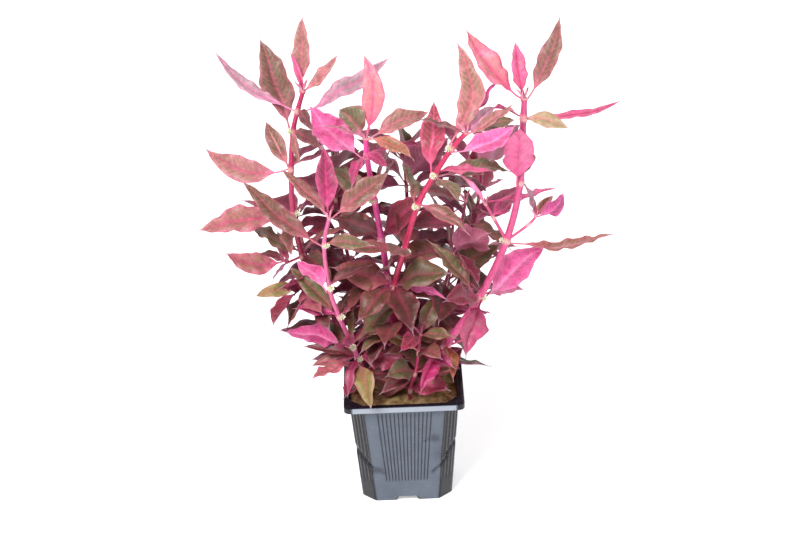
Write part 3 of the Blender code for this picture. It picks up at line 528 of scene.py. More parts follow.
# The leaves that the front shows: stem, node, heading, rise, length, width, colour.
# bow lifts the middle of the blade, sweep bends it sideways, roll turns its upper face, fold closes its
# halves. Without a roll the upper face turns to the light. own leaves are pieces of their own.
LEAVES = [
    # The crown of the left stem
    Leaf("left_stem", 9, 84, 70, 54, 14, "rosy", roll=0, own=True),
    Leaf("left_stem", 9, 20, 40, 36, 9, "rosy", bow=-0.1, roll=35),
    Leaf("left_stem", 9, 145, 58, 29, 5, "pink"),
    Leaf("left_stem", 8, 11, 26, 78, 15, "mauve", bow=-0.1, roll=25, twist=40, own=True),
    Leaf("left_stem", 8, 168, 37, 74, 10, "mauve", bow=-0.2, roll=-40, own=True),
    Leaf("left_stem", 8, 294, -11, 28, 9, "maroon"),
    Leaf("left_stem", 7, 123, 64, 74, 24, "brown", roll=-20, own=True),
    Leaf("left_stem", 7, 306, -3, 36, 11, "maroon"),
    Leaf("left_stem", 7, 280, -24, 32, 9, "brown"),
    # Down the left stem
    Leaf("left_stem", 6, 120, 35, 45, 13, "brown", bow=0.02, roll=-30, own=True),
    Leaf("left_stem", 6, 177, 17, 65, 21, "salmon", bow=-0.34, roll=-50, twist=-40, fold=25, own=True),
    Leaf("left_stem", 6, 38, 1, 48, 14, "brown"),
    Leaf("left_stem", 5, 187, -5, 72, 22, "salmon", bow=0.04, roll=-50, own=True),
    Leaf("left_stem", 5, 53, -8, 38, 14, "brown"),
    Leaf("left_shoot", 1, 105, 29, 30, 10, "salmon"),
    Leaf("left_shoot", 1, 177, 12, 46, 18, "salmon", bow=-0.26, roll=-55, own=True),
    Leaf("left_shoot", 1, 143, -2, 30, 7, "maroon"),
    Leaf("left_shoot", 1, 240, -14, 20, 7, "mauve"),
    Leaf("lower_left_shoot", 1, 183, -8, 33, 12, "tan", roll=-50),
    Leaf("lower_left_shoot", 1, 236, -26, 38, 20, "crimson", fold=30, own=True),
    # The front left stem
    Leaf("front_left_stem", 7, 97, 67, 52, 18, "magenta", fold=30, roll=0, own=True),
    Leaf("front_left_stem", 7, 159, 43, 49, 11, "brown", roll=-35),
    Leaf("front_left_stem", 7, 16, 32, 54, 19, "brown", bow=0.0, roll=40, own=True),
    Leaf("front_left_stem", 6, 164, 38, 76, 16, "brown", bow=-0.08, roll=-45, own=True),
    Leaf("front_left_stem", 6, 345, 5, 36, 12, "olive"),
    Leaf("front_left_stem", 5, 205, 52, 37, 16, "hot_pink", roll=60, own=True),
    Leaf("front_left_stem", 5, 20, 20, 34, 11, "maroon"),
    Leaf("front_left_stem", 4, 157, 42, 53, 14, "olive", roll=-40, own=True),
    Leaf("front_left_stem", 4, 140, 10, 34, 10, "magenta"),
    Leaf("front_left_stem", 4, 69, 20, 30, 8, "olive"),
    Leaf("front_left_stem", 4, 35, 4, 38, 12, "brown"),
    Leaf("front_left_stem", 3, 173, 12, 53, 20, "hot_pink", roll=80, own=True),
    Leaf("front_left_stem", 3, 140, 10, 42, 14, "olive", own=True),
    Leaf("front_left_stem", 3, 90, 22, 36, 10, "tan"),
    Leaf("front_left_stem", 3, 17, 43, 55, 18, "olive", roll=35, own=True),
    Leaf("front_left_stem", 3, 335, 34, 34, 13, "olive", bow=0.25, roll=20),
    Leaf("front_left_stem", 2, 176, 12, 42, 10, "maroon"),
    Leaf("front_left_stem", 2, 184, -6, 36, 14, "salmon", roll=-30),
    Leaf("front_left_stem", 2, 215, -4, 42, 18, "salmon", fold=15, own=True),
    Leaf("front_left_stem", 2, 155, -12, 40, 11, "mauve"),
    Leaf("front_left_stem", 2, 283, -30, 45, 17, "tan", bow=0.2, fold=18, own=True),
    Leaf("front_left_stem", 2, 255, -24, 34, 10, "pink"),
    # The centre left stem
    Leaf("centre_left_stem", 7, 89, 69, 61, 17, "pale_pink", sweep=0.2, roll=0, own=True),
    Leaf("centre_left_stem", 7, 140, 34, 30, 24, "olive", bow=0.2, own=True),
    Leaf("centre_left_stem", 7, 13, 16, 50, 17, "rosy", roll=25, twist=30, own=True),
    Leaf("centre_left_stem", 7, 322, -9, 42, 12, "orange", bow=0.2, own=True),
    Leaf("centre_left_stem", 7, 206, 26, 38, 9, "rosy"),
    Leaf("centre_left_stem", 6, 190, 48, 60, 26, "hot_pink", bow=-0.1, roll=80, fold=25, own=True),
    Leaf("centre_left_stem", 6, 254, -8, 42, 12, "magenta", bow=0.2),
    Leaf("centre_left_stem", 6, 300, 16, 30, 9, "magenta"),
    Leaf("centre_left_stem", 5, 143, 21, 46, 18, "olive", own=True),
    Leaf("centre_left_stem", 5, 66, 21, 45, 12, "rosy"),
    Leaf("centre_left_stem", 4, 140, 17, 42, 17, "brown", own=True),
    # The centre stem
    Leaf("centre_stem", 7, 78, 70, 77, 19, "rosy", sweep=0.36, roll=0, own=True),
    Leaf("centre_stem", 8, 40, 60, 43, 11, "magenta", roll=-70, own=True),
    Leaf("centre_stem", 8, 345, 36, 42, 11, "rosy", bow=-0.15),
    Leaf("centre_stem", 8, 31, -1, 42, 16, "olive", own=True),
    Leaf("centre_stem", 8, 137, 10, 36, 7, "maroon"),
    Leaf("centre_stem", 7, 334, 27, 56, 19, "hot_pink", bow=-0.15, roll=-80, own=True),
    Leaf("centre_stem", 6, 85, 68, 54, 18, "crimson", roll=-8, own=True),
    Leaf("centre_stem", 6, 2, 9, 42, 8, "pink"),
    Leaf("centre_stem", 6, 20, -8, 60, 16, "olive", bow=0.15, own=True),
    Leaf("centre_stem", 6, 296, -10, 38, 15, "olive", bow=0.2, own=True),
    Leaf("centre_stem", 5, 103, 26, 43, 18, "olive", own=True),
    Leaf("centre_stem", 5, 324, -14, 45, 14, "brown", bow=0.15),
    Leaf("centre_stem", 4, 198, 14, 52, 11, "brown", roll=-40, twist=-30, own=True),
    Leaf("centre_stem", 3, 335, -4, 42, 10, "hot_pink", roll=-70),
    Leaf("centre_stem", 2, 300, 8, 40, 14, "crimson"),
    Leaf("centre_stem", 2, 215, 0, 36, 13, "olive"),
    # The right stem and its shoots
    Leaf("right_stem", 7, 155, 47, 65, 20, "pale_pink", bow=-0.14, roll=-30, own=True),
    Leaf("right_stem", 7, 111, 67, 41, 13, "pink", roll=0, own=True),
    Leaf("right_stem", 7, 34, 59, 63, 16, "brown", bow=-0.1, sweep=0.05, roll=30, own=True),
    Leaf("right_stem", 6, 15, 3, 75, 7, "pink", bow=-0.12, roll=40, own=True),
    Leaf("right_stem", 6, 340, -6, 34, 12, "tan", roll=45),
    Leaf("right_stem", 6, 139, 2, 34, 10, "pink"),
    Leaf("right_stem", 5, 268, 84, 50, 24, "pink", bow=0.05, roll=0, own=True),
    Leaf("right_stem", 5, 80, 35, 48, 16, "olive"),
    Leaf("inner_right_shoot", 2, 153, 44, 29, 10, "pale_pink", roll=50),
    Leaf("inner_right_shoot", 2, 21, -3, 62, 11, "pink", bow=-0.05, roll=-50, own=True),
    Leaf("inner_right_shoot", 1, 58, 2, 27, 12, "magenta"),
    Leaf("inner_right_shoot", 1, 125, -12, 28, 13, "maroon"),
    Leaf("outer_right_shoot", 2, 132, 58, 26, 9, "mauve"),
    Leaf("outer_right_shoot", 2, 21, 44, 19, 9, "brown"),
    Leaf("outer_right_shoot", 2, 340, 46, 29, 13, "magenta", bow=-0.3, roll=-70),
    Leaf("right_stem", 4, 356, 4, 80, 13, "rosy", bow=-0.18, own=True),
    Leaf("right_stem", 3, 15, 34, 64, 25, "hot_pink", bow=0.05, roll=-95, fold=15, own=True),
    Leaf("right_stem", 3, 25, -14, 44, 14, "pink", roll=-70),
    Leaf("right_stem", 3, 152, 44, 56, 14, "olive", roll=-20, own=True),
    Leaf("right_stem", 3, 250, -42, 46, 21, "pink", bow=0.2, own=True),
    Leaf("right_stem", 2, 200, 20, 38, 13, "olive", roll=-15),
    Leaf("right_stem", 2, 290, -18, 34, 13, "orange", bow=0.2),
    Leaf("right_stem", 2, 240, -26, 44, 15, "hot_pink", fold=40, bow=0.25, own=True),
    # The short stem in front
    Leaf("front_stem", 4, 62, 28, 38, 15, "olive"),
    Leaf("front_stem", 4, 240, -4, 30, 13, "crimson"),
    Leaf("front_stem", 4, 330, 6, 28, 12, "olive"),
    Leaf("front_stem", 3, 150, 24, 34, 12, "tan"),
    Leaf("front_stem", 3, 318, -18, 34, 13, "magenta"),
    Leaf("front_stem", 2, 215, -10, 32, 13, "maroon"),
    Leaf("front_stem", 2, 20, 4, 32, 12, "brown"),
]

# Leaves deeper in the crowd, of which the front shows only parts.
DEEPER_LEAVES = [
    Leaf("centre_left_stem", 2, 262, -8, 46, 20, "maroon", plain=True),
    Leaf("centre_left_stem", 3, 230, -12, 48, 20, "brown", plain=True),
    Leaf("centre_left_stem", 3, 300, -6, 44, 18, "crimson", plain=True),
    Leaf("centre_stem", 3, 286, -20, 48, 20, "maroon", plain=True),
    Leaf("centre_stem", 3, 230, -14, 44, 18, "brown", plain=True),
    Leaf("middle_right_stem", 3, 285, -10, 48, 20, "crimson", plain=True),
    Leaf("middle_right_stem", 4, 262, -14, 48, 20, "maroon", plain=True),
    Leaf("middle_right_stem", 5, 292, -8, 44, 18, "magenta", plain=True),
    Leaf("right_stem", 2, 160, 14, 46, 18, "maroon", plain=True),
    Leaf("left_stem", 4, 300, -10, 46, 18, "brown", plain=True),
    Leaf("left_stem", 3, 280, -14, 44, 18, "maroon", plain=True),
    Leaf("left_stem", 5, 268, -20, 44, 16, "rosy", plain=True),
    Leaf("lower_left_shoot", 1, 300, -10, 36, 14, "salmon", plain=True),
    Leaf("back_left_stem", 5, 195, 10, 46, 22, "brown", plain=True),
    Leaf("back_left_stem", 3, 215, 20, 38, 20, "maroon", plain=True),
    Leaf("back_stem", 7, 50, 28, 42, 20, "brown", plain=True),
    Leaf("centre_left_stem", 6, 20, 0, 44, 18, "magenta", plain=True),
    Leaf("middle_right_stem", 5, 200, 4, 48, 21, "brown", plain=True),
    Leaf("middle_right_stem", 7, 190, 20, 46, 19, "maroon", plain=True),
    Leaf("back_right_stem", 4, 5, 14, 42, 25, "rosy", plain=True),
    Leaf("middle_right_stem", 6, 330, -16, 42, 19, "crimson", plain=True),
    Leaf("middle_right_stem", 6, 200, 6, 44, 20, "magenta", plain=True),
    Leaf("left_stem", 3, 230, -20, 40, 20, "crimson", plain=True),
    Leaf("back_left_stem", 4, 330, 6, 42, 20, "brown", plain=True),
    Leaf("back_left_stem", 4, 200, 12, 42, 22, "maroon", plain=True),
    Leaf("back_stem", 6, 195, 5, 42, 20, "brown", plain=True),
    Leaf("back_stem", 5, 200, 20, 44, 20, "maroon", plain=True),
    Leaf("back_stem", 7, 350, 8, 38, 19, "olive", plain=True),
    Leaf("back_stem", 6, 10, 8, 40, 19, "crimson", plain=True),
    Leaf("back_stem", 7, 160, 30, 42, 20, "olive", plain=True),
    Leaf("back_left_stem", 7, 60, 50, 46, 20, "brown", plain=True),
    Leaf("back_right_stem", 7, 100, 52, 44, 20, "crimson", plain=True),
    Leaf("back_right_stem", 5, 175, 10, 40, 19, "maroon", plain=True),
    Leaf("back_right_stem", 3, 0, 6, 40, 19, "brown", plain=True),
    Leaf("low_back_left_stem", 4, 300, 10, 38, 19, "maroon", plain=True),
    Leaf("low_back_left_stem", 5, 345, 12, 38, 19, "brown", plain=True),
    Leaf("back_left_stem", 6, 2, 8, 50, 23, "maroon", plain=True),
    Leaf("back_stem", 7, 110, 58, 34, 20, "olive", plain=True),
    Leaf("low_back_left_stem", 6, 355, 5, 36, 22, "maroon", plain=True),
    Leaf("left_stem", 6, 20, 20, 34, 20, "brown", plain=True),
    Leaf("low_back_right_stem", 4, 345, -4, 46, 21, "crimson", plain=True),
    Leaf("centre_stem", 8, 30, 34, 28, 12, "mauve", plain=True),
    Leaf("back_right_stem", 5, 100, 40, 36, 20, "brown", plain=True),
]

# The pairs that the front hardly shows: stem, first node, last node, length, width, rise.
HIDDEN_PAIRS = [
    ("centre_stem", 1, 4, 50, 21, 12),
    ("right_stem", 1, 3, 50, 20, 14),
    ("centre_left_stem", 1, 5, 52, 21, 14),
    ("front_stem", 1, 3, 36, 17, 6),
    ("front_left_stem", 1, 3, 42, 18, 8),
    ("middle_right_stem", 1, 5, 54, 22, 14),
    ("back_stem", 1, 6, 60, 25, 22),
    ("back_left_stem", 1, 7, 58, 23, 18),
    ("back_right_stem", 1, 7, 58, 23, 18),
    ("low_back_left_stem", 2, 6, 52, 21, 12),
    ("low_back_right_stem", 2, 6, 52, 21, 12),
    ("left_stem", 2, 4, 50, 19, 10),
]
HIDDEN_COLOURS = ("brown", "maroon", "olive", "crimson", "magenta", "rosy")
HIDDEN_SEED = 11
DECUSSATE_TURN = 90.0
HIDDEN_FOLD = 10.0
HIDDEN_RISE_STEP = 5.0
HIDDEN_HEADINGS = (-15, 15)
HIDDEN_RISES = (-10, 10)
HIDDEN_LENGTHS = (0.75, 1.1)
HIDDEN_WIDTHS = (0.8, 1.1)
HIDDEN_BOWS = (0.02, 0.2)
LOWEST_BLADE = 84.0

# The flower heads, which sit in the angles between leaves and stem: stem, node, heading.
FLOWERS = [
    ("left_stem", 7, 215), ("left_stem", 5, 330),
    ("front_left_stem", 6, 320), ("front_left_stem", 5, 300), ("front_left_stem", 4, 325),
    ("front_left_stem", 3, 270), ("front_left_stem", 2, 310),
    ("centre_left_stem", 5, 225),
    ("centre_stem", 7, 200), ("centre_stem", 6, 240), ("centre_stem", 5, 230), ("centre_stem", 4, 330),
    ("right_stem", 4, 200), ("right_stem", 3, 190), ("right_stem", 3, 330), ("flower_stalk", 1, 110),
]


def linear(hex_colour):
    """The linear RGBA of an sRGB hex colour."""
    channels = [int(hex_colour[i:i + 2], 16) / 255 for i in (0, 2, 4)]
    return [c / 12.92 if c <= 0.04045 else ((c + 0.055) / 1.055) ** 2.4 for c in channels] + [1.0]


def lofted(rings):
    """A closed solid through rings that have the same number of points, each end closed by one face."""
    count = len(rings[0])
    points = [p for ring in rings for p in ring]
    faces = []
    for level in range(len(rings) - 1):
        low = level * count
        high = low + count
        for i in range(count):
            j = (i + 1) % count
            faces.append((low + i, low + j, high + j, high + i))
    faces.append(tuple(reversed(range(count))))
    faces.append(tuple(range(len(points) - count, len(points))))
    return points, faces


def square_ring(half, z, corner, bulge):
    """A square's outline at one height, three points to a corner. bulge places the middle one."""
    start = half - corner
    middle = start + corner * bulge
    quarter = [(half, start, z), (middle, middle, z), (start, half, z)]
    return [point for turn in range(4) for point in turned_quarter(quarter, turn)]


def bevelled_square(half, z):
    return square_ring(half, z, CORNER_BEVEL, 0.5)


def rounded_square(half, z):
    return square_ring(half, z, RIM_CORNER_RADIUS, math.sqrt(0.5))


def wall_half(z):
    """Half the pot's outer width at a height, below the flange."""
    return BASE_HALF + (NECK_HALF - BASE_HALF) * z / (POT_HEIGHT - WALL)


def turned_quarter(points, quarter):
    """The points turned about the pot's axis by so many quarters."""
    angle = math.radians(90 * quarter)
    c = math.cos(angle)
    s = math.sin(angle)
    return [(c * x - s * y, s * x + c * y, z) for x, y, z in points]


def channel(quarter, reach, low, widening):
    """A bar from side to side under the floor, narrower at its top, reaching so far out and so low."""
    half_low = CHANNEL_HALF_LOW + widening
    half_high = CHANNEL_HALF_HIGH + widening
    high = CHANNEL_HEIGHT + widening
    outline = [(-half_low, low), (half_low, low), (half_high, high), (-half_high, high)]
    rings = [turned_quarter([(x, y, z) for x, z in outline], quarter) for y in (-reach, reach)]
    return lofted(rings)


def post(x, y, radius, sides, low, high):
    """An upright prism with regular sides."""
    ring = [(x + radius * math.cos(a), y + radius * math.sin(a)) for a in
            [2 * math.pi * (i + 0.5) / sides for i in range(sides)]]
    return lofted([[(u, v, z) for u, v in ring] for z in (low, high)])


def unit(vector):
    return vector / np.linalg.norm(vector)


def halfway(points, k):
    """The point of a smooth curve through the nodes that lies halfway between node k and the next."""
    before = points[max(k - 1, 0)]
    after = points[min(k + 2, len(points) - 1)]
    return (9 * (points[k] + points[k + 1]) - before - after) / 16


def stem_nodes(points, radius, tip_share):
    """Each node's place, its radius and the direction in which the stem comes to it."""
    points = [np.array(p, float) for p in points]
    nodes = []
    for k, point in enumerate(points):
        along = unit(point - points[k - 1]) if k else unit(points[1] - point)
        nodes.append((point, radius * (1 - (1 - tip_share) * k / (len(points) - 1)), along))
    return nodes


def stem_course(nodes, swelling):
    """Centres and radii along a stem. A stem with swollen nodes is thinner halfway between them."""
    points = [point for point, _, _ in nodes]
    course = [(points[0], nodes[0][1])]
    for k in range(len(nodes) - 1):
        if swelling > 1:
            course.append((halfway(points, k), (nodes[k][1] + nodes[k + 1][1]) / 2))
        course.append((points[k + 1], nodes[k + 1][1] * swelling))
    return course


def tube(course, sides=STEM_SIDES):
    """A closed tube along the centres, its rings turned as little as they can be."""
    centres = [c for c, _ in course]
    side = np.array([1.0, 0.0, 0.0])
    rings = []
    for i, (centre, radius) in enumerate(course):
        along = unit(centres[min(i + 1, len(centres) - 1)] - centres[max(i - 1, 0)])
        side = unit(side - along * (side @ along))
        other = np.cross(along, side)
        rings.append([centre + radius * (math.cos(a) * side + math.sin(a) * other) for a in
                      [2 * math.pi * n / sides for n in range(sides)]])
    return lofted(rings)


def direction(heading, rise):
    h = math.radians(heading)
    r = math.radians(rise)
    return np.array([math.cos(r) * math.cos(h), math.cos(r) * math.sin(h), math.sin(r)])


def blade_half_width(leaf, share):
    """Half the blade's width at a share of its length: narrow stalk, widest before the middle, long tip."""
    if share <= PETIOLE_SHARE:
        return PETIOLE_RADIUS
    s = (share - PETIOLE_SHARE) / (1 - PETIOLE_SHARE)
    widest = WIDEST_POWER / (WIDEST_POWER + TIP_POWER)
    peak = widest ** WIDEST_POWER * (1 - widest) ** TIP_POWER
    swell = s ** WIDEST_POWER * (1 - s) ** TIP_POWER / peak
    return PETIOLE_RADIUS + (leaf.width / 2 - PETIOLE_RADIUS) * swell


def roll_to_light(leaf, middle, up, side):
    """How far the blade turns its upper face up and out of the crowd of leaves, in degrees."""
    if leaf.roll is not None:
        return leaf.roll
    outward = unit(np.array([middle[0], middle[1], 0.0]))
    wanted = np.array([0.0, 0.0, 1.0]) + LIGHT_LEAN * outward
    roll = math.degrees(math.atan2(wanted @ side, wanted @ up))
    return max(-MOST_ROLL, min(MOST_ROLL, roll))


def leaf_section(leaf, base, tip, share):
    """The middle of the blade at a share of its length, with its side and its upper normal there."""
    chord = unit(tip - base)
    length = np.linalg.norm(tip - base)
    h = math.radians(leaf.heading)
    side = np.array([math.sin(h), -math.cos(h), 0.0])
    up = np.cross(side, chord)
    roll = roll_to_light(leaf, (base + tip) / 2, up, side)
    bend = (base + tip) / 2 + length * (leaf.bow * up + leaf.sweep * side)
    centre = (1 - share) ** 2 * base + 2 * share * (1 - share) * bend + share ** 2 * tip
    along = unit((1 - share) * (bend - base) + share * (tip - bend))
    up = unit(up - along * (up @ along))
    side = np.cross(along, up)
    turn = math.radians(roll * min(1.0, share / TWIST_FROM) + leaf.twist * (share - TWIST_FROM))
    normal = math.cos(turn) * up + math.sin(turn) * side
    return centre, np.cross(along, normal), normal


def leaf_solid(leaf, base, tip, extra=0.0, start=None):
    """The leaf as a thin closed solid, folded along its midrib, with a pointed tip.

    Each section runs from one edge over the midrib to the other edge and back under it. Plain leaves do
    without the point above the midrib. A leaf that is fused to its stem starts from a point inside it.
    Where it is only measured, it starts outside the stem instead.
    """
    stations = leaf.stations if start is None else (start,) + leaf.stations
    points = []
    for share in stations:
        centre, side, normal = leaf_section(leaf, base, tip, share)
        half = blade_half_width(leaf, share) + extra
        thick = PETIOLE_RADIUS if share <= PETIOLE_SHARE else BLADE_THICKNESS / 2
        closing = math.radians(leaf.fold) if share > PETIOLE_SHARE else 0.0
        reach = half * math.cos(closing)
        lift = half * math.sin(closing)
        points.append(centre + reach * side + lift * normal)
        if not leaf.plain:
            points.append(centre + (thick + extra) * normal)
        points.append(centre - reach * side + lift * normal)
        points.append(centre - (thick + extra) * normal)
    corners = len(points) // len(stations)
    last = len(points) - corners
    faces = []
    for low in range(0, last, corners):
        for i in range(corners):
            j = (i + 1) % corners
            quad = (low + i, low + corners + i, low + corners + j, low + j)
            if i % 2 == corners % 2:
                quad = quad[1:] + quad[:1]
            faces += [quad[:3], (quad[0], quad[2], quad[3])]
    points.append(tip + extra * unit(tip - base))
    faces += [(last + (i + 1) % corners, last + i, len(points) - 1) for i in range(corners)]
    if leaf.own or start is not None:
        faces.append(tuple(range(corners)))
    else:
        points.append(base)
        faces += [(i, (i + 1) % corners, len(points) - 1) for i in range(corners)]
    return points, faces


class Plant:
    """Where the nodes are and what already takes up room."""

    def __init__(self):
        self.nodes = {}
        self.owner = {}
        self.taken = []
        self.tree = None

    def add_stem(self, name, owner, points, radius, tip_share, swelling):
        """Keeps the stem's nodes and gives its solid."""
        self.nodes[name] = stem_nodes(points, radius, tip_share)
        self.owner[name] = owner
        return tube(stem_course(self.nodes[name], swelling))

    def take(self, solid):
        """Marks the room of a solid as taken."""
        self.taken.append(solid)
        points = []
        faces = []
        for some_points, some_faces in self.taken:
            start = len(points)
            points += [tuple(p) for p in some_points]
            faces += [tuple(start + i for i in face) for face in some_faces]
        self.tree = BVHTree.FromPolygons(points, faces)

    def is_free(self, solid):
        points, faces = solid
        tree = BVHTree.FromPolygons([tuple(p) for p in points], faces)
        return min(p[2] for p in points) > LOWEST_BLADE and not self.tree.overlap(tree)

    def ends(self, leaf):
        """Where the leaf starts and ends. An own leaf starts a hair off the stem, the others in it."""
        node, radius, along = self.nodes[leaf.stem][leaf.node]
        towards = direction(leaf.heading, leaf.rise)
        outward = unit(towards - along * (towards @ along))
        tip = node + leaf.length * towards
        if leaf.own:
            return node + (radius * NODE_SWELLING + PETIOLE_RADIUS + GAP) * outward, tip
        is_last = leaf.node == len(self.nodes[leaf.stem]) - 1
        lift = -AXIL_LIFT if is_last else AXIL_LIFT
        return node - FUSED_DEPTH * radius * outward + lift * along, tip

    def solid(self, leaf):
        return leaf_solid(leaf, *self.ends(leaf))

    def measured(self, leaf):
        """The leaf with some room around it. One that is fused to its stem is measured from the stem on."""
        start = None
        if not leaf.own:
            radius = self.nodes[leaf.stem][leaf.node][1]
            clear_of_stem = STEM_ROOM * radius * NODE_SWELLING + PETIOLE_RADIUS + 2 * CLEARANCE
            start = min(clear_of_stem / leaf.length, LATEST_START * PETIOLE_SHARE)
        return leaf_solid(leaf, *self.ends(leaf), CLEARANCE, start)


def turns(most_heading, most_rise):
    """Ways to turn a leaf aside, the smallest first."""
    tried = []
    for heading in range(-most_heading, most_heading + 1, TURN_STEP):
        for rise in range(-most_rise, most_rise + 1, TURN_STEP):
            tried.append((heading, rise))
    return sorted(tried, key=lambda turn: (abs(turn[0]) + abs(turn[1]), turn))


def place(plant, leaf, most_heading, most_rise):
    """Turns the leaf aside from what it would touch, in small steps, and says whether it found room."""
    heading = leaf.heading
    rise = leaf.rise
    for h, r in turns(most_heading, most_rise):
        leaf.heading = heading + h
        leaf.rise = rise + r
        if plant.is_free(plant.measured(leaf)):
            plant.take(plant.solid(leaf))
            return True
    leaf.heading = heading
    leaf.rise = rise
    return False


def hidden_leaves():
    """Opposite pairs, each a quarter turn from the pair below, for nodes that the front doesn't show."""
    chance = random.Random(HIDDEN_SEED)
    made = []
    for stem, first, last, length, width, rise in HIDDEN_PAIRS:
        start = chance.uniform(0, 180)
        for node in range(first, last + 1):
            for half_turn in (0, 180):
                made.append(Leaf(
                    stem, node,
                    start + DECUSSATE_TURN * node + half_turn + chance.uniform(*HIDDEN_HEADINGS),
                    rise + HIDDEN_RISE_STEP * (node - first) + chance.uniform(*HIDDEN_RISES),
                    length * chance.uniform(*HIDDEN_LENGTHS),
                    width * chance.uniform(*HIDDEN_WIDTHS),
                    chance.choice(HIDDEN_COLOURS),
                    bow=chance.uniform(*HIDDEN_BOWS),
                    fold=HIDDEN_FOLD,
                    plain=True,
                ))
    return made


def flower_place(plant, stem, node, heading):
    """Where a flower head sits just above its node, with the directions out of the stem and along it."""
    middle, radius, along = plant.nodes[stem][node]
    outward = direction(heading, 0)
    offset = FLOWER_OFFSET * FLOWER_RADIUS
    return middle + (FLOWER_SEAT * radius + offset) * outward + offset * along, outward, along


def flower_solid(plant, stem, node, heading):
    """A small lump of eight faces against the stem, just above its node."""
    centre, _, _ = flower_place(plant, stem, node, heading)
    ring = [centre + FLOWER_RADIUS * direction(heading + 90 * i, 0) for i in range(4)]
    points = ring + [centre + np.array([0, 0, FLOWER_RADIUS]), centre - np.array([0, 0, FLOWER_RADIUS])]
    faces = [(i, (i + 1) % 4, 4) for i in range(4)] + [((i + 1) % 4, i, 5) for i in range(4)]
    return points, faces


def pot_room():
    """The room that the filled pot takes, for keeping the leaves clear of it."""
    inside = NECK_HALF - WALL
    return lofted([
        bevelled_square(NECK_HALF - POT_ROOM_INSET, POT_HEIGHT - POT_ROOM_DEPTH),
        rounded_square(RIM_HALF + GAP, POT_HEIGHT - FLANGE_DROP - GAP),
        rounded_square(RIM_HALF + GAP, POT_HEIGHT + GAP),
        bevelled_square(inside, POT_HEIGHT + GAP),
        bevelled_square(inside - WOOL_ROOM_INSET, WOOL_TOP + WOOL_CROWN + GAP),
    ])


def repeats(size):
    """How often a pattern of so many millimetres repeats in a metre."""
    return 1 / (size * MM)


def add_node(tree, kind, inputs, output=0, **settings):
    """Adds a shader node and gives one of its outputs. settings are the node's own properties. inputs are
    numbers, hex colours or the outputs of other nodes, by the name or the number of their socket."""
    made = tree.nodes.new(kind)
    for name, value in settings.items():
        setattr(made, name, value)
    for socket, value in inputs.items():
        if isinstance(value, bpy.types.NodeSocket):
            tree.links.new(value, made.inputs[socket])
        else:
            made.inputs[socket].default_value = linear(value) if isinstance(value, str) else value
    return made.outputs[output]


def shaded(name, roughness, **sockets):
    """A new material with its Principled shader; returns the material, its tree and the shader."""
    made = bpy.data.materials.new(name)
    made.use_nodes = True
    tree = made.node_tree
    shader = tree.nodes["Principled BSDF"]
    shader.inputs["Roughness"].default_value = roughness
    shader.inputs["Metallic"].default_value = 0.0
    for socket, value in sockets.items():
        shader.inputs[socket.replace("_", " ")].default_value = value
    return made, tree, shader


def leaf_ground(tree, large, mottle, between):
    """The leaf's ground colour with patches on it that thin out along the side veins."""
    patches = add_node(tree, "ShaderNodeMapRange", {"Value": large, "From Min": 0.4, "From Max": 0.52})
    fields = add_node(tree, "ShaderNodeMapRange",
                      {"Value": between, "From Min": 0.06, "From Max": 0.4, "To Min": 0.45})
    broken = add_node(tree, "ShaderNodeMapRange",
                      {"Value": mottle, "From Min": 0.35, "From Max": 0.6, "To Min": 0.65})
    patches = add_node(tree, "ShaderNodeMath", {0: patches, 1: fields}, operation="MULTIPLY")
    patches = add_node(tree, "ShaderNodeMath", {0: patches, 1: broken}, operation="MULTIPLY")
    ground = add_node(tree, "ShaderNodeAttribute", {}, "Color", attribute_name="ground")
    patch = add_node(tree, "ShaderNodeAttribute", {}, "Color", attribute_name="patch")
    return add_node(tree, "ShaderNodeMix", {0: patches, 6: ground, 7: patch}, 2, data_type="RGBA")


def leaf_veins(tree, colour, share, edge, between):
    """The blush at the foot and along the margin, the veins, and the tip, which is dry and greyish."""
    vein = add_node(tree, "ShaderNodeAttribute", {}, "Color", attribute_name="vein")
    foot = add_node(tree, "ShaderNodeMapRange",
                    {"Value": share, "From Min": 0.1, "From Max": 0.42, "To Min": 0.6, "To Max": 0.0})
    margin = add_node(tree, "ShaderNodeMapRange", {"Value": edge, "From Min": 0.7, "To Max": 0.6})
    blush = add_node(tree, "ShaderNodeMath", {0: foot, 1: margin}, operation="MAXIMUM")
    colour = add_node(tree, "ShaderNodeMix", {0: blush, 6: colour, 7: vein}, 2, data_type="RGBA")
    # A side vein is a thin line at each whole step of the count, fading towards the margin.
    line = add_node(tree, "ShaderNodeMapRange",
                    {"Value": between, "From Max": 0.1, "To Min": 1.0, "To Max": 0.0})
    fading = add_node(tree, "ShaderNodeMapRange",
                      {"Value": edge, "From Min": 0.15, "To Min": 0.75, "To Max": 0.2})
    line = add_node(tree, "ShaderNodeMath", {0: line, 1: fading}, operation="MULTIPLY")
    rib = add_node(tree, "ShaderNodeAttribute", {}, "Fac", attribute_name="rib")
    thinning = add_node(tree, "ShaderNodeMapRange", {"Value": share, "To Min": 0.95, "To Max": 0.5})
    rib = add_node(tree, "ShaderNodeMath", {0: rib, 1: thinning}, operation="MULTIPLY")
    lines = add_node(tree, "ShaderNodeMath", {0: line, 1: rib}, operation="MAXIMUM")
    colour = add_node(tree, "ShaderNodeMix", {0: lines, 6: colour, 7: vein}, 2, data_type="RGBA")
    dry = add_node(tree, "ShaderNodeMapRange", {"Value": share, "From Min": 0.9, "To Max": 0.75})
    return add_node(tree, "ShaderNodeMix", {0: dry, 6: colour, 7: "a98f9c"}, 2, data_type="RGBA")


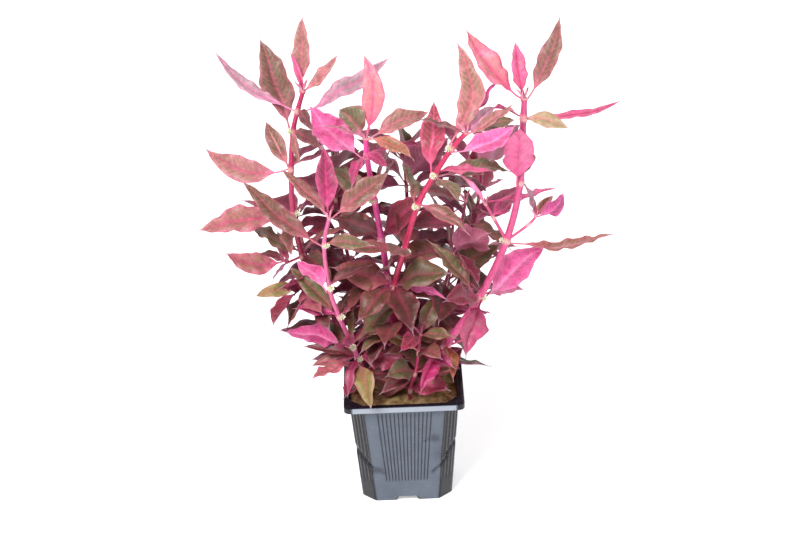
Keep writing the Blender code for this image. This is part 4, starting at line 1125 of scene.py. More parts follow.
def living_leaf(name, relief):
    """Living leaf skin, satin from its wax. The eye sees ground and patches that run into each other, a
    blush at the foot, a clear midrib, side veins that arch to the margin, and a fine net between them."""
    made, tree, shader = shaded(name, 0.42, IOR=1.45, Specular_IOR_Level=0.55, Sheen_Weight=0.1,
                                Sheen_Roughness=0.4)
    rest = add_node(tree, "ShaderNodeTexCoord", {}, "Object")
    # Large patches are broken up by mottling.
    large = add_node(tree, "ShaderNodeTexNoise",
                     {"Vector": rest, "Scale": repeats(LEAF_PATCH), "Detail": 5.0, "Roughness": 0.66})
    mottle = add_node(tree, "ShaderNodeTexNoise",
                      {"Vector": rest, "Scale": repeats(LEAF_MOTTLE), "Detail": 3.0, "Roughness": 0.6})
    # The net of the smallest veins.
    net = add_node(tree, "ShaderNodeTexVoronoi", {"Vector": rest, "Scale": repeats(LEAF_NET)},
                   feature="DISTANCE_TO_EDGE")
    place = add_node(tree, "ShaderNodeAttribute", {}, "Vector", attribute_name="leaf_place")
    across, share, count = add_node(tree, "ShaderNodeSeparateXYZ", {0: place}).node.outputs
    edge = add_node(tree, "ShaderNodeMath", {0: across}, operation="ABSOLUTE")
    # The count of the side veins wanders a little. between is 0 on a vein and a half midway to the next.
    wander = add_node(tree, "ShaderNodeMapRange",
                      {"Value": mottle, "From Min": 0.3, "From Max": 0.7, "To Min": -0.2, "To Max": 0.2})
    wandering = add_node(tree, "ShaderNodeMath", {0: count, 1: wander}, operation="ADD")
    between = add_node(tree, "ShaderNodeMath", {0: wandering, 1: 0.5}, operation="PINGPONG")
    colour = leaf_ground(tree, large, mottle, between)
    colour = leaf_veins(tree, colour, share, edge, between)
    netted = add_node(tree, "ShaderNodeMapRange",
                      {"Value": net, "From Max": 0.2, "To Min": 0.86, "To Max": 1.05})
    dappled = add_node(tree, "ShaderNodeMapRange",
                       {"Value": mottle, "From Min": 0.3, "From Max": 0.7, "To Min": 0.78, "To Max": 1.24})
    tone = add_node(tree, "ShaderNodeMath", {0: netted, 1: dappled}, operation="MULTIPLY")
    tinted = add_node(tree, "ShaderNodeVectorMath", {0: colour, "Scale": tone}, operation="SCALE")
    tree.links.new(tinted, shader.inputs["Base Color"])
    satin = add_node(tree, "ShaderNodeMapRange",
                     {"Value": mottle, "From Min": 0.2, "From Max": 0.8, "To Min": 0.3, "To Max": 0.54})
    tree.links.new(satin, shader.inputs["Roughness"])
    height = add_node(tree, "ShaderNodeMath", {0: mottle, 1: 3.0, 2: net}, operation="MULTIPLY_ADD")
    bump = add_node(tree, "ShaderNodeBump", {"Height": height, "Strength": relief, "Distance": 0.4 * MM})
    tree.links.new(bump, shader.inputs["Normal"])
    return made


def living_stem():
    """Juicy stem skin, glossy and nearly clear over rose-red flesh. The eye sees fine lengthwise streaks
    and paler joints."""
    made, tree, shader = shaded("alternanthera stem skin", 0.34, IOR=1.45, Specular_IOR_Level=0.6)
    place = add_node(tree, "ShaderNodeAttribute", {}, "Vector", attribute_name="stem_place")
    around, along, joint = add_node(tree, "ShaderNodeSeparateXYZ", {0: place}).node.outputs
    # The place is already counted in streaks, which are longer than they are wide.
    streak_at = add_node(tree, "ShaderNodeCombineXYZ", {0: around, 1: along})
    streaks = add_node(tree, "ShaderNodeTexNoise", {"Vector": streak_at, "Scale": 1.0, "Detail": 3.0})
    lighter = add_node(tree, "ShaderNodeMapRange",
                       {"Value": streaks, "From Min": 0.3, "From Max": 0.7, "To Min": 0.72, "To Max": 1.28})
    flesh = add_node(tree, "ShaderNodeAttribute", {}, "Color", attribute_name="ground")
    tinted = add_node(tree, "ShaderNodeVectorMath", {0: flesh, "Scale": lighter}, operation="SCALE")
    paler = add_node(tree, "ShaderNodeMapRange", {"Value": joint, "From Min": 0.3, "To Max": 0.62})
    colour = add_node(tree, "ShaderNodeMix", {0: paler, 6: tinted, 7: "ecc4b4"}, 2, data_type="RGBA")
    tree.links.new(colour, shader.inputs["Base Color"])
    gloss = add_node(tree, "ShaderNodeMapRange", {"Value": streaks, "To Min": 0.24, "To Max": 0.46})
    tree.links.new(gloss, shader.inputs["Roughness"])
    bump = add_node(tree, "ShaderNodeBump", {"Height": streaks, "Strength": 0.3, "Distance": 0.1 * MM})
    tree.links.new(bump, shader.inputs["Normal"])
    return made


def papery_bract():
    """Dry, papery flower scales, whitish with a green heart. The eye sees them nearly matte."""
    made, tree, shader = shaded("papery flower bracts", 0.7, IOR=1.45, Specular_IOR_Level=0.3)
    rest = add_node(tree, "ShaderNodeTexCoord", {}, "Object")
    depth = add_node(tree, "ShaderNodeAttribute", {}, "Fac", attribute_name="bract")
    # Specks make the step from green to white uneven.
    specks = add_node(tree, "ShaderNodeTexNoise",
                      {"Vector": rest, "Scale": repeats(BRACT_SPECK), "Detail": 2.0})
    mixed = add_node(tree, "ShaderNodeMath", {0: specks, 1: 0.35, 2: depth}, operation="MULTIPLY_ADD")
    white = add_node(tree, "ShaderNodeMapRange", {"Value": mixed, "From Min": 0.1, "From Max": 0.75})
    colour = add_node(tree, "ShaderNodeMix", {0: white, 6: "a9b070", 7: "f2efdc"}, 2, data_type="RGBA")
    tree.links.new(colour, shader.inputs["Base Color"])
    return made


def black_polypropylene():
    """Black polypropylene, moulded thin. The eye sees a satin black with water marks. A painted sheen greys
    the flat of each wall and leaves its corners, grooves and creases dark as painted shade, and a painted
    highlight makes the face of the lip pale."""
    made, tree, shader = shaded("moulded black polypropylene", 0.38, IOR=1.49, Specular_IOR_Level=0.34)
    rest = add_node(tree, "ShaderNodeTexCoord", {}, "Object")
    marks = add_node(tree, "ShaderNodeTexNoise",
                     {"Vector": rest, "Scale": repeats(WATER_MARK), "Detail": 6.0, "Roughness": 0.68})
    specks = add_node(tree, "ShaderNodeTexNoise",
                      {"Vector": rest, "Scale": repeats(POT_SPECK), "Detail": 2.0})
    # The painted sheen goes up to 1 on the walls, and past 1 on the lip, where a painted highlight makes it
    # paler.
    painted_film = add_node(tree, "ShaderNodeAttribute", {}, "Fac", attribute_name="film")
    wall_film = add_node(tree, "ShaderNodeMapRange", {"Value": painted_film})
    lip_film = add_node(tree, "ShaderNodeMapRange",
                        {"Value": painted_film, "From Min": 1.0, "From Max": 2.0})
    uneven = add_node(tree, "ShaderNodeMapRange",
                      {"Value": marks, "From Min": 0.3, "From Max": 0.7, "To Min": 0.72})
    film = add_node(tree, "ShaderNodeMath", {0: uneven, 1: wall_film}, operation="MULTIPLY")
    # Grey where the painted sheen is strong, and paler still where the lip has its painted highlight.
    colour = add_node(tree, "ShaderNodeMix", {0: film, 6: "14141c", 7: "606875"}, 2, data_type="RGBA")
    colour = add_node(tree, "ShaderNodeMix", {0: lip_film, 6: colour, 7: "aab0bc"}, 2, data_type="RGBA")
    # Scuffs and dry drops, small and pale.
    drops = add_node(tree, "ShaderNodeMapRange",
                     {"Value": specks, "From Min": 0.66, "From Max": 0.74, "To Max": 0.35})
    colour = add_node(tree, "ShaderNodeMix", {0: drops, 6: colour, 7: "a9aebb"}, 2, data_type="RGBA")
    tree.links.new(colour, shader.inputs["Base Color"])
    satin = add_node(tree, "ShaderNodeMapRange", {"Value": film, "To Min": 0.27, "To Max": 0.55})
    tree.links.new(satin, shader.inputs["Roughness"])
    bump = add_node(tree, "ShaderNodeBump", {"Height": marks, "Strength": 0.25, "Distance": 0.3 * MM})
    tree.links.new(bump, shader.inputs["Normal"])
    return made


def mineral_wool():
    """Mineral wool, spun and damp. The eye sees golden-brown fibres, darker where they are wet."""
    made, tree, shader = shaded("spun mineral wool", 0.9, IOR=1.45, Specular_IOR_Level=0.25)
    rest = add_node(tree, "ShaderNodeTexCoord", {}, "Object")
    damp = add_node(tree, "ShaderNodeTexNoise",
                    {"Vector": rest, "Scale": repeats(DAMP_PATCH), "Detail": 5.0, "Roughness": 0.7})
    dry = add_node(tree, "ShaderNodeMapRange", {"Value": damp, "From Min": 0.38, "From Max": 0.62})
    colour = add_node(tree, "ShaderNodeMix", {0: dry, 6: "7c5c34", 7: "dcc08c"}, 2, data_type="RGBA")
    tree.links.new(colour, shader.inputs["Base Color"])
    grain = add_node(tree, "ShaderNodeTexNoise",
                     {"Vector": rest, "Scale": repeats(WOOL_GRAIN), "Detail": 4.0})
    bump = add_node(tree, "ShaderNodeBump", {"Height": grain, "Strength": 0.8, "Distance": 0.4 * MM})
    tree.links.new(bump, shader.inputs["Normal"])
    return made


class Mesh:
    """Points, faces and what is painted on the points, gathered from many parts into one piece."""

    def __init__(self):
        self.points = []
        self.faces = []
        self.looks = []
        self.values = {}

    def add(self, points, faces, look, **values):
        """Adds a part. look is its material's place in the piece; values give one entry for each point."""
        start = len(self.points)
        self.points += [tuple(p) for p in points]
        self.faces += [tuple(start + i for i in face) for face in faces]
        self.looks += list(look) if isinstance(look, (list, tuple)) else [look] * len(faces)
        for name, entries in values.items():
            known = self.values.setdefault(name, {})
            known.update({start + i: entry for i, entry in enumerate(entries)})

    def piece(self, name, materials, sharp_over=PIECE_SHARP_OVER):
        """The object in the scene, in metres, riding with the part."""
        mesh = bpy.data.meshes.new(name)
        mesh.from_pydata([(x * MM, y * MM, z * MM) for x, y, z in self.points], [], self.faces)
        for look in materials:
            mesh.materials.append(look)
        mesh.polygons.foreach_set("material_index", self.looks)
        for label, known in self.values.items():
            sample = next(iter(known.values()))
            width = len(sample) if hasattr(sample, "__len__") else 1
            kind = {1: "FLOAT", 3: "FLOAT_VECTOR", 4: "FLOAT_COLOR"}[width]
            attribute = mesh.attributes.new(label, kind, "POINT")
            filled = np.zeros((len(self.points), width), np.float32)
            for i, entry in known.items():
                filled[i] = entry
            attribute.data.foreach_set({1: "value", 3: "vector", 4: "color"}[width], filled.ravel())
        mesh.shade_smooth()
        mesh.set_sharp_from_angle(angle=math.radians(sharp_over))
        made = bpy.data.objects.new(name, mesh)
        bpy.context.scene.collection.objects.link(made)
        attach(made, "root")
        return made


def vein_phase(across, along):
    """Counts the side veins: a whole number on each. They leave the midrib slanting and bend to the tip."""
    away = abs(across)
    shift = 0.5 * VEIN_SPACING if across > 0 else 0.0
    return (along - VEIN_SLANT * away - VEIN_BEND * away * away + shift) / VEIN_SPACING


def fine_half_width(leaf, share):
    """The blade's half width, with a fine hair at its very tip."""
    if share >= 1:
        return HAIR_HALF
    widening = DEEP_WIDENING if leaf.plain and share > PETIOLE_SHARE else 1.0
    return max(HAIR_HALF, widening * blade_half_width(leaf, share) * min(1.0, (1 - share) / TIP_TAPER))


class Ruffle:
    """How one blade departs from the plain one: its waves, its uneven margins and its small bends."""

    def __init__(self, leaf, seed):
        chance = random.Random(seed)
        self.starts = [chance.uniform(0, 2 * math.pi) for _ in range(WAVE_STARTS)]
        self.wave_length = MARGIN_WAVE_LENGTH * chance.uniform(*WAVE_LENGTHS)
        self.wave_height = MARGIN_WAVE * chance.uniform(*WAVE_HEIGHTS)
        self.wander = SPINE_WANDER * leaf.length * chance.uniform(*WANDERS)
        self.uneven = chance.uniform(*UNEVEN_WIDTHS)
        self.tilts = [math.radians(chance.uniform(*HALF_TILTS)) for _ in range(2)]
        self.curl = chance.uniform(*CURLS)
        self.shade = chance.uniform(*SHADES)

    def swing(self, number, turns):
        return math.sin(self.starts[number] + 2 * math.pi * turns)

    def swings(self, first, waves, share):
        """The sum of some waves along the blade, each given by its turns and its size."""
        return sum(size * self.swing(first + i, turns * share) for i, (turns, size) in enumerate(waves))

    def spine(self, share, side, normal):
        """How far the midrib wanders at a share of the length."""
        fade = max(0.0, math.sin(math.pi * min(1.0, max(0.0, share)))) ** SPINE_FADE
        aside = SPINE_ASIDE_SHARE * self.swings(0, SPINE_ASIDE, share)
        lift = self.swings(2, SPINE_LIFT, share)
        return self.wander * fade * (aside * side + lift * normal)

    def width(self, right, along):
        """The factor on the half width of one half of the blade."""
        swings = [size * self.swing(4 + 2 * i + right, along / (length * self.wave_length))
                  for i, (length, size) in enumerate(WIDTH_WAVES)]
        return 1 + self.uneven * sum(swings)

    def margin(self, right, along):
        """How high the margin of one half stands in its waves."""
        wave = self.swing(4 + right, along / self.wave_length)
        ripple = self.swing(6 - right, along / (RIPPLE_LENGTH * self.wave_length))
        return self.wave_height * (wave + RIPPLE_SIZE * ripple)


def greyed_and_lit(tone, height, shade, dulled):
    """The tone as a leaf at this height has it. Young leaves at the top are paler and duller; the change
    also paints the light from above, as painted shade low down and a painted haze at the top.
    """
    youth_and_light = min(1.0, max(0.0, (height - OLD_BELOW) / (YOUNG_ABOVE - OLD_BELOW)))
    grey = sum(weight * channel for weight, channel in zip(GREY_WEIGHTS, tone))
    dull = dulled * YOUNG_HAZED_DULLNESS * youth_and_light
    depth = shade * (OLD_SHADED_DEPTH + (YOUNG_LIT_DEPTH - OLD_SHADED_DEPTH) * youth_and_light)
    return tuple(depth * (channel * (1 - dull) + grey * dull) for channel in tone[:3]) + (1.0,)


def skin_heights(a, x, half, share, opened):
    """How far the upper and the lower skin stand off the middle of the blade, at one point across it."""
    stalk = 1 - opened
    round_off = math.sqrt(max(0.0, 1 - a * a))
    rib = math.exp(-(x / MIDRIB_HALF) ** 2) * (1 - MIDRIB_FADE * min(1.0, share))
    skin = min(BLADE_SKIN, NARROW_SKIN * half) * (MARGIN_SKIN + (1 - MARGIN_SKIN) * round_off)
    above = skin + STALK_ABOVE * stalk * round_off - MIDRIB_GROOVE * rib * opened
    below = skin + STALK_BELOW * stalk * round_off + MIDRIB_DEPTH * rib * opened
    return above, below


def blade_section(leaf, ruffle, base, tip, share, across):
    """One row of points across the blade: above, below, place in the leaf, and how much of it is midrib."""
    centre, side, normal = leaf_section(leaf, base, tip, share)
    centre = centre + ruffle.spine(share, side, normal)
    half = fine_half_width(leaf, share)
    along = share * np.linalg.norm(tip - base)
    opened = min(1.0, max(0.0, (share - PETIOLE_SHARE) / PETIOLE_FADE))
    waving = opened * min(1.0, half / FULL_WAVE_HALF)
    row = []
    for j in range(across + 1):
        a = 2 * j / across - 1
        a = math.copysign(abs(a) ** ACROSS_POWER, a) if a else 0.0
        right = int(a > 0)
        x = a * half * (1 + (ruffle.width(right, along) - 1) * waving)
        count = vein_phase(x, along)
        closing = (math.radians(leaf.fold) + ruffle.tilts[right]) * opened
        quilt = math.cos(2 * math.pi * count) * math.sin(math.pi * min(1.0, abs(a) * QUILT_REACH))
        lift = abs(x) * math.sin(closing)
        lift += (HALF_BULGE + BULGE_BY_CURL * ruffle.curl) * half * math.sin(math.pi * abs(a)) * opened
        lift += waving * ruffle.margin(right, along) * abs(a) ** MARGIN_WAVE_POWER
        lift -= MARGIN_ROLL * ruffle.curl * waving * abs(a) ** MARGIN_ROLL_POWER
        lift -= QUILT_DEPTH * opened * quilt * min(1.0, half / FULL_QUILT_HALF)
        middle = centre + x * math.cos(closing) * side + lift * normal
        above, below = skin_heights(a, x, half, share, opened)
        painted_rib = MIDRIB_PAINT * math.exp(-(x / (MIDRIB_HALF * MIDRIB_PAINT_HALF)) ** 2)
        rib = max(1 - opened, min(1.0, painted_rib))
        row.append((middle + above * normal, middle - below * normal, (a, share, count), rib))
    return row


def blade_faces(sections, across):
    """The faces of the two skins and of the edge that joins them, with the look of each."""
    row = across + 1
    count = row * (sections + 1)
    last = sections * row
    faces = []
    looks = []
    for k in range(sections):
        for j in range(across):
            i = k * row + j
            faces.append((i, i + 1, i + row + 1, i + row))
            faces.append((count + i, count + i + row, count + i + row + 1, count + i + 1))
            looks += [UPPER_SKIN, LOWER_SKIN]
        left = k * row
        right = left + across
        faces.append((left, left + row, count + left + row, count + left))
        faces.append((right, count + right, count + right + row, right + row))
        looks += [UPPER_SKIN, UPPER_SKIN]
    faces.append(tuple(range(across, -1, -1)) + tuple(range(count, count + row)))
    faces.append(tuple(range(last, last + row)) + tuple(range(count + last + across, count + last - 1, -1)))
    looks += [UPPER_SKIN, UPPER_SKIN]
    return faces, looks


def leaf_tones(leaf, height, shade):
    """The six tones of a leaf. Leaves deep in the plant are darker, which paints the shade among the
    leaves.
    """
    look = leaf.colour
    if leaf.plain:
        shade = shade * SHADED_DEPTH
        look = DEEP_LOOKS.get(look, look)
    dulled = BRIGHT_DULLED if look in BRIGHT_LOOKS else 1.0
    return [greyed_and_lit(linear(tone), height, shade, dulled) for tone in LOOKS[look]]


def fine_blade(mesh, leaf, base, tip, seed, first_share=0.0):
    """The leaf as a thin closed shell with an upper and a lower skin."""
    sections = OWN_SECTIONS if leaf.own else SMALL_SECTIONS
    across = OWN_ACROSS if leaf.own else SMALL_ACROSS
    ruffle = Ruffle(leaf, seed)
    reach = 1 + HAIR_TIP - first_share
    rows = []
    for k in range(sections + 1):
        share = first_share + reach * k / sections
        rows += blade_section(leaf, ruffle, base, tip, share, across)
    upper, lower, places, ribs = zip(*rows)
    faces, looks = blade_faces(sections, across)
    tones = leaf_tones(leaf, 0.5 * (base[2] + tip[2]), ruffle.shade)
    count = len(upper)
    mesh.add(
        upper + lower, faces, looks,
        leaf_place=places + places,
        rib=ribs + ribs,
        ground=[tones[0]] * count + [tones[3]] * count,
        patch=[tones[1]] * count + [tones[4]] * count,
        vein=[tones[2]] * count + [tones[5]] * count,
    )


def smooth_course(nodes):
    """Many points along the stem through its nodes, with radius, distance run and nearness to a joint."""
    points = [np.array(p) for p, _, _ in nodes]
    run = 0.0
    course = []
    for k in range(len(points) - 1):
        before = points[max(k - 1, 0)]
        after = points[min(k + 2, len(points) - 1)]
        start = points[k]
        end = points[k + 1]
        length = np.linalg.norm(end - start)
        steps = max(LEAST_STEM_STEPS, int(length / FINE_STEM_STEP))
        for step in range(steps + (k == len(points) - 2)):
            t = step / steps
            square = (2 * before - 5 * start + 4 * end - after) * t ** 2
            cube = (3 * start - before - 3 * end + after) * t ** 3
            here = 0.5 * (2 * start + (end - before) * t + square + cube)
            radius = nodes[k][1] * (1 - t) + nodes[k + 1][1] * t
            away = min(t, 1 - t) * length
            course.append((here, radius, run + t * length, math.exp(-(away / JOINT_REACH) ** 2)))
        run += length
    return course


def fine_stem(mesh, nodes, swelling, tone):
    """The stem as a round closed tube with swollen joints and faint ribs."""
    course = smooth_course(nodes)
    centres = [c[0] for c in course]
    side = np.array([1.0, 0.0, 0.0])
    rings = []
    places = []
    for i, (centre, radius, run, joint) in enumerate(course):
        along = unit(centres[min(i + 1, len(centres) - 1)] - centres[max(i - 1, 0)])
        side = unit(side - along * (side @ along))
        other = np.cross(along, side)
        full = radius * (1 + (swelling - 1) * joint) * (1 - STEM_WAIST * (1 - joint))
        ring = []
        for n in range(FINE_STEM_SIDES):
            angle = 2 * math.pi * n / FINE_STEM_SIDES
            ribbed = full * (1 + STEM_RIB_DEPTH * math.cos(STEM_RIBS * angle))
            ring.append(centre + ribbed * (math.cos(angle) * side + math.sin(angle) * other))
            half_round = 2 * abs(n / FINE_STEM_SIDES - 0.5)
            places.append((half_round * STREAKS_AROUND, run / STREAK_LENGTH, joint))
        rings.append(ring)
    points, faces = lofted(rings)
    mesh.add(points, faces, STEM_SKIN, stem_place=places, ground=[linear(tone)] * len(points))


def bract(centre, axis, out, reach):
    """One scale of a flower head: a small pointed kite with a keel, leaning towards the head's axis."""
    up = unit(axis + BRACT_FACE_LEAN * out)
    wide = unit(np.cross(out, up) + np.array([TINY, 0, 0]))
    root = centre + BRACT_ROOT * FLOWER_RADIUS * out
    tip = root + reach * unit(out + BRACT_TIP_LEAN * axis)
    belly = root + 0.5 * reach * unit(out + BRACT_BELLY_LEAN * axis)
    half = BRACT_HALF * FLOWER_RADIUS
    thick = BRACT_THICKNESS * FLOWER_RADIUS
    inner = belly - thick * up
    outer = belly + (thick + BRACT_KEEL * FLOWER_RADIUS) * unit(np.cross(wide, tip - root))
    points = [root, belly + half * wide, tip, belly - half * wide, outer, inner]
    faces = [(0, 1, 4), (1, 2, 4), (2, 3, 4), (3, 0, 4), (1, 0, 5), (2, 1, 5), (3, 2, 5), (0, 3, 5)]
    return points, faces


def flower_head(mesh, centre, axis, seed):
    """A dense head of pointed papery scales round a small green heart."""
    chance = random.Random(seed)
    axis = unit(axis)
    side = unit(np.cross(axis, ANY_WAY))
    other = np.cross(axis, side)
    rings = []
    for ring, (height, wide) in enumerate(HEART_RINGS):
        points = []
        for n in range(HEART_SIDES):
            angle = 2 * math.pi * (n + 0.5 * ring) / HEART_SIDES
            out = math.cos(angle) * side + math.sin(angle) * other
            points.append(centre + FLOWER_RADIUS * (height * axis + wide * out))
        rings.append(points)
    heart, faces = lofted(rings)
    mesh.add(heart, faces, BRACT_SKIN, bract=[HEART_PALENESS] * len(heart))
    for n in range(BRACTS):
        tilt = math.acos(1 - BRACT_SPREAD * (n + 0.5) / BRACTS)
        turn = n * BRACT_TURN + chance.uniform(-BRACT_STRAY, BRACT_STRAY)
        out = math.cos(tilt) * axis + math.sin(tilt) * (math.cos(turn) * side + math.sin(turn) * other)
        reach = FLOWER_RADIUS * chance.uniform(*BRACT_REACHES)
        points, faces = bract(centre, axis, out, reach)
        mesh.add(points, faces, BRACT_SKIN, bract=BRACT_PALENESS)


def step_between(value, low, high):
    """Rises smoothly from 0 at low to 1 at high."""
    t = min(1.0, max(0.0, (value - low) / (high - low)))
    return t * t * (3 - 2 * t)


def rib_share(z):
    """How much of their depth the flutes and ribs have at a height: none near the rim and the foot."""
    rising = step_between(z, FLUTE_BOTTOM, FLUTE_BOTTOM + EDGE_FADE)
    ending = step_between(z, FLUTE_TOP - EDGE_FADE, FLUTE_TOP)
    return rising * (1 - ending)


def dented(x, y, z):
    """How far the front of the pot is pushed in. It fades round the corners."""
    front = step_between(-y, DENTS_END, DENTS_FULL)
    if front == 0:
        return 0.0
    depth = 0.0
    for cx, cz, rx, rz, deep in DENTS:
        depth += deep * math.exp(-((x - cx) / rx) ** 2 - ((z - cz) / rz) ** 2)
    for x0, z0, x1, z1, half, deep in CREASES:
        run = ((x - x0) * (x1 - x0) + (z - z0) * (z1 - z0)) / ((x1 - x0) ** 2 + (z1 - z0) ** 2)
        run = min(1.0, max(0.0, run))
        away = math.hypot(x - x0 - run * (x1 - x0), z - z0 - run * (z1 - z0))
        depth = max(depth, deep * math.exp(-(away / half) ** 2))
    return front * depth


def pressed(point, share):
    """A point of the pot moved in with the dents."""
    x, y, z = point
    shrink = 1 - share * dented(x, y, z) / math.hypot(x, y)
    return (x * shrink, y * shrink, z)


def wall_outline(start, z):
    """Places across one wall and how far each is sunk: plain wall, the grooves of the panel, plain wall."""
    rise = (z - FLUTE_BOTTOM) / (FLUTE_TOP - FLUTE_BOTTOM)
    panel = min(PANEL_HALF_LOW + (PANEL_HALF_HIGH - PANEL_HALF_LOW) * rise, start - PANEL_CLEAR)
    steps = [(start - panel) * i / PLAIN_POINTS for i in range(1, PLAIN_POINTS)]
    across = [(-start + step, 0.0) for step in steps] + [(-panel, 0.0)]
    for i in range(FLUTES):
        centre = (2 * i / (FLUTES - 1) - 1) * (panel - FLUTE_MARGIN)
        across += [(centre + share * GROOVE_HALF, PANEL_SINK + deep * GROOVE_DEPTH)
                   for share, deep in GROOVE_OUTLINE]
    return across + [(panel, 0.0)] + [(panel + step, 0.0) for step in steps]


def corner_outline(half, z, corner, bulge, waves):
    """A fine corner: the flat bevel with its ribs and its rounded edges, or the rim's round one."""
    points = []
    for i in range(CORNER_POINTS):
        t = i / (CORNER_POINTS - 1)
        bow = bulge * 4 * t * (1 - t)
        nearness = max(0.0, 1 - min(t, 1 - t) / EDGE_SHARE)
        rounding = 0.0 if bulge else EDGE_ROUNDING * nearness ** 2
        wave = 0.5 - 0.5 * math.cos(2 * math.pi * CORNER_RIBS * t)
        sunk = CORNER_RIB_DEPTH * waves * wave ** CORNER_RIB_POWER
        outward = (bow * corner - sunk - rounding) / math.sqrt(2)
        points.append((half - corner * t + outward, half - corner + corner * t + outward, z))
    return points


def wall_ring(half, z, corner, bulge, waves, dents):
    """A fine outline of the pot at one height, with the painted sheen on the flat of each wall, which its
    corners and grooves lack as painted shade.
    """
    start = half - corner
    across = wall_outline(start, z)
    side = [(half - sink * waves, x, z) for x, sink in across]
    side += corner_outline(half, z, corner, bulge, waves)
    film = []
    for x, sink in across:
        # A groove loses the painted sheen, which paints shade into it.
        sheen = 1 - GROOVE_PAINTED_SHADE * waves * min(1.0, max(0.0, sink - PANEL_SINK) / GROOVE_DEPTH)
        film.append(sheen * step_between(start - abs(x), 0.0, SHEEN_EDGE))
    film += [0.0] * CORNER_POINTS
    ring = [point for turn in range(4) for point in turned_quarter(side, turn)]
    # The painted sheen is taken away where the wall is creased, which paints shade into the creases.
    dent_shade = [1 - DENT_PAINTED_SHADE * min(1.0, dents * dented(x, y, z)) for x, y, z in ring]
    return [pressed(point, dents) for point in ring], [sheen * left for sheen, left in zip(4 * film, dent_shade)]


def outer_levels():
    """The outlines of the outer wall: half width, height, corner, and shares of flutes and dents."""
    bevel = (CORNER_BEVEL, FLAT_BULGE)
    heights = [*LOW_LEVELS, FLUTE_BOTTOM, FLUTE_BOTTOM + 0.5 * EDGE_FADE, FLUTE_BOTTOM + EDGE_FADE]
    steps = int((FLUTE_TOP - EDGE_FADE - FLUTE_LEVELS_FROM) / LEVEL_STEP)
    heights += [FLUTE_LEVELS_FROM + LEVEL_STEP * i for i in range(steps)]
    heights += [FLUTE_TOP - EDGE_FADE, FLUTE_TOP - 0.5 * EDGE_FADE, FLUTE_TOP, HIGH_LEVEL]
    neck = POT_HEIGHT - WALL
    return [
        (wall_half(0) - FOOT_INSET, 0.0, bevel, 0.0, 0.0),
        (wall_half(FOOT_EDGE), FOOT_EDGE, bevel, 0.0, 1.0),
        *[(wall_half(z), z, bevel, rib_share(z), 1.0) for z in heights],
        (wall_half(neck), neck - NECK_EDGE, bevel, 0.0, 0.0),
    ]


def lip_levels():
    """The outlines of the flange: under it, round its edge, over its top and into the pot."""
    low = POT_HEIGHT - FLANGE_DROP
    softening = LIP_SOFTENING * LIP_ROUNDING
    outside = [
        (RIM_HALF - WALL, POT_HEIGHT - WALL),
        (RIM_HALF - WALL, low + FLANGE_INNER_LIFT),
        (RIM_HALF - FLANGE_ROUNDING * WALL, low),
        (RIM_HALF, low + FLANGE_EDGE),
        (RIM_HALF, POT_HEIGHT - LIP_ROUNDING),
        (RIM_HALF - softening, POT_HEIGHT - softening),
        (RIM_HALF - LIP_ROUNDING, POT_HEIGHT),
    ]
    inside = [(NECK_HALF - WALL + LIP_ROUNDING, POT_HEIGHT), (NECK_HALF - WALL, POT_HEIGHT - LIP_ROUNDING)]
    levels = [(half, z, (RIM_CORNER_RADIUS, ROUND_BULGE), 0.0, 0.0) for half, z in outside]
    return levels + [(half, z, (CORNER_BEVEL, FLAT_BULGE), 0.0, 0.0) for half, z in inside]


def inner_levels():
    """The outlines of the inner wall down to the floor, pushed in with the outer one."""
    floor = wall_half(FLOOR_THICKNESS) - WALL
    top = POT_HEIGHT - LIP_ROUNDING
    levels = []
    for i in range(1, INNER_LEVELS + 1):
        z = top + (FLOOR_THICKNESS - POT_HEIGHT + LIP_ROUNDING) * i / INNER_LEVELS
        half = floor + (NECK_HALF - WALL - floor) * (1 - i / INNER_LEVELS)
        levels.append((half, z, (CORNER_BEVEL, FLAT_BULGE), 0.0, 1.0 if i < INNER_LEVELS else 0.0))
    return levels


def film_strength(half, z):
    """How strong the painted sheen is at a level: full outside, stronger on the lip's face as a painted
    highlight, none inside.
    """
    low = POT_HEIGHT - FLANGE_DROP
    if z > low and half == RIM_HALF:
        return LIP_HIGHLIGHT
    return float(z < low and half > wall_half(z) - SHEEN_WALL_SHARE * WALL)


def pot_shell(look):
    """The pot's outer wall, lip, inner wall and floor as one closed piece."""
    rings = []
    film = []
    for half, z, (corner, bulge), waves, dents in outer_levels() + lip_levels() + inner_levels():
        ring, ring_film = wall_ring(half, z, corner, bulge, waves, dents)
        rings.append(ring)
        strength = film_strength(half, z)
        film += [share * strength for share in ring_film]
    points, faces = lofted(rings)
    shell = Mesh()
    shell.add(points, faces, 0, film=film)
    return shell.piece("square_pot", [look], POT_SHARP_OVER)


def fine_pot(look):
    """The pot with the channels under its floor, its drains and its boss."""
    pot = pot_shell(look)
    bars = [helper(channel(quarter, BASE_HALF - WALL / 2, CHANNEL_BAR_LOW, FLOOR_THICKNESS))
            for quarter in (0, 1)]
    combined(pot, bars, "UNION")
    cutters = [helper(channel(quarter, BASE_HALF + CUT_BEYOND, -CUT_BEYOND, 0.0)) for quarter in (0, 1)]
    sides = DRAIN_ROUNDNESS * DRAIN_SIDES
    for x, y in ((DRAIN_RING, 0), (-DRAIN_RING, 0), (0, DRAIN_RING), (0, -DRAIN_RING)):
        drain = post(x, y, DRAIN_RADIUS, sides, -CUT_BEYOND, CHANNEL_HEIGHT + CUT_BEYOND)
        cutters.append(helper(drain))
    combined(pot, cutters, "DIFFERENCE")
    boss = post(0, 0, BOSS_RADIUS, BOSS_ROUNDNESS * BOSS_SIDES, 0.0, CHANNEL_HEIGHT + FLOOR_THICKNESS / 2)
    combined(pot, [helper(boss)], "UNION")
    pot.data.shade_smooth()
    pot.data.set_sharp_from_angle(angle=math.radians(POT_SHARP_OVER))
    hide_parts("pot")


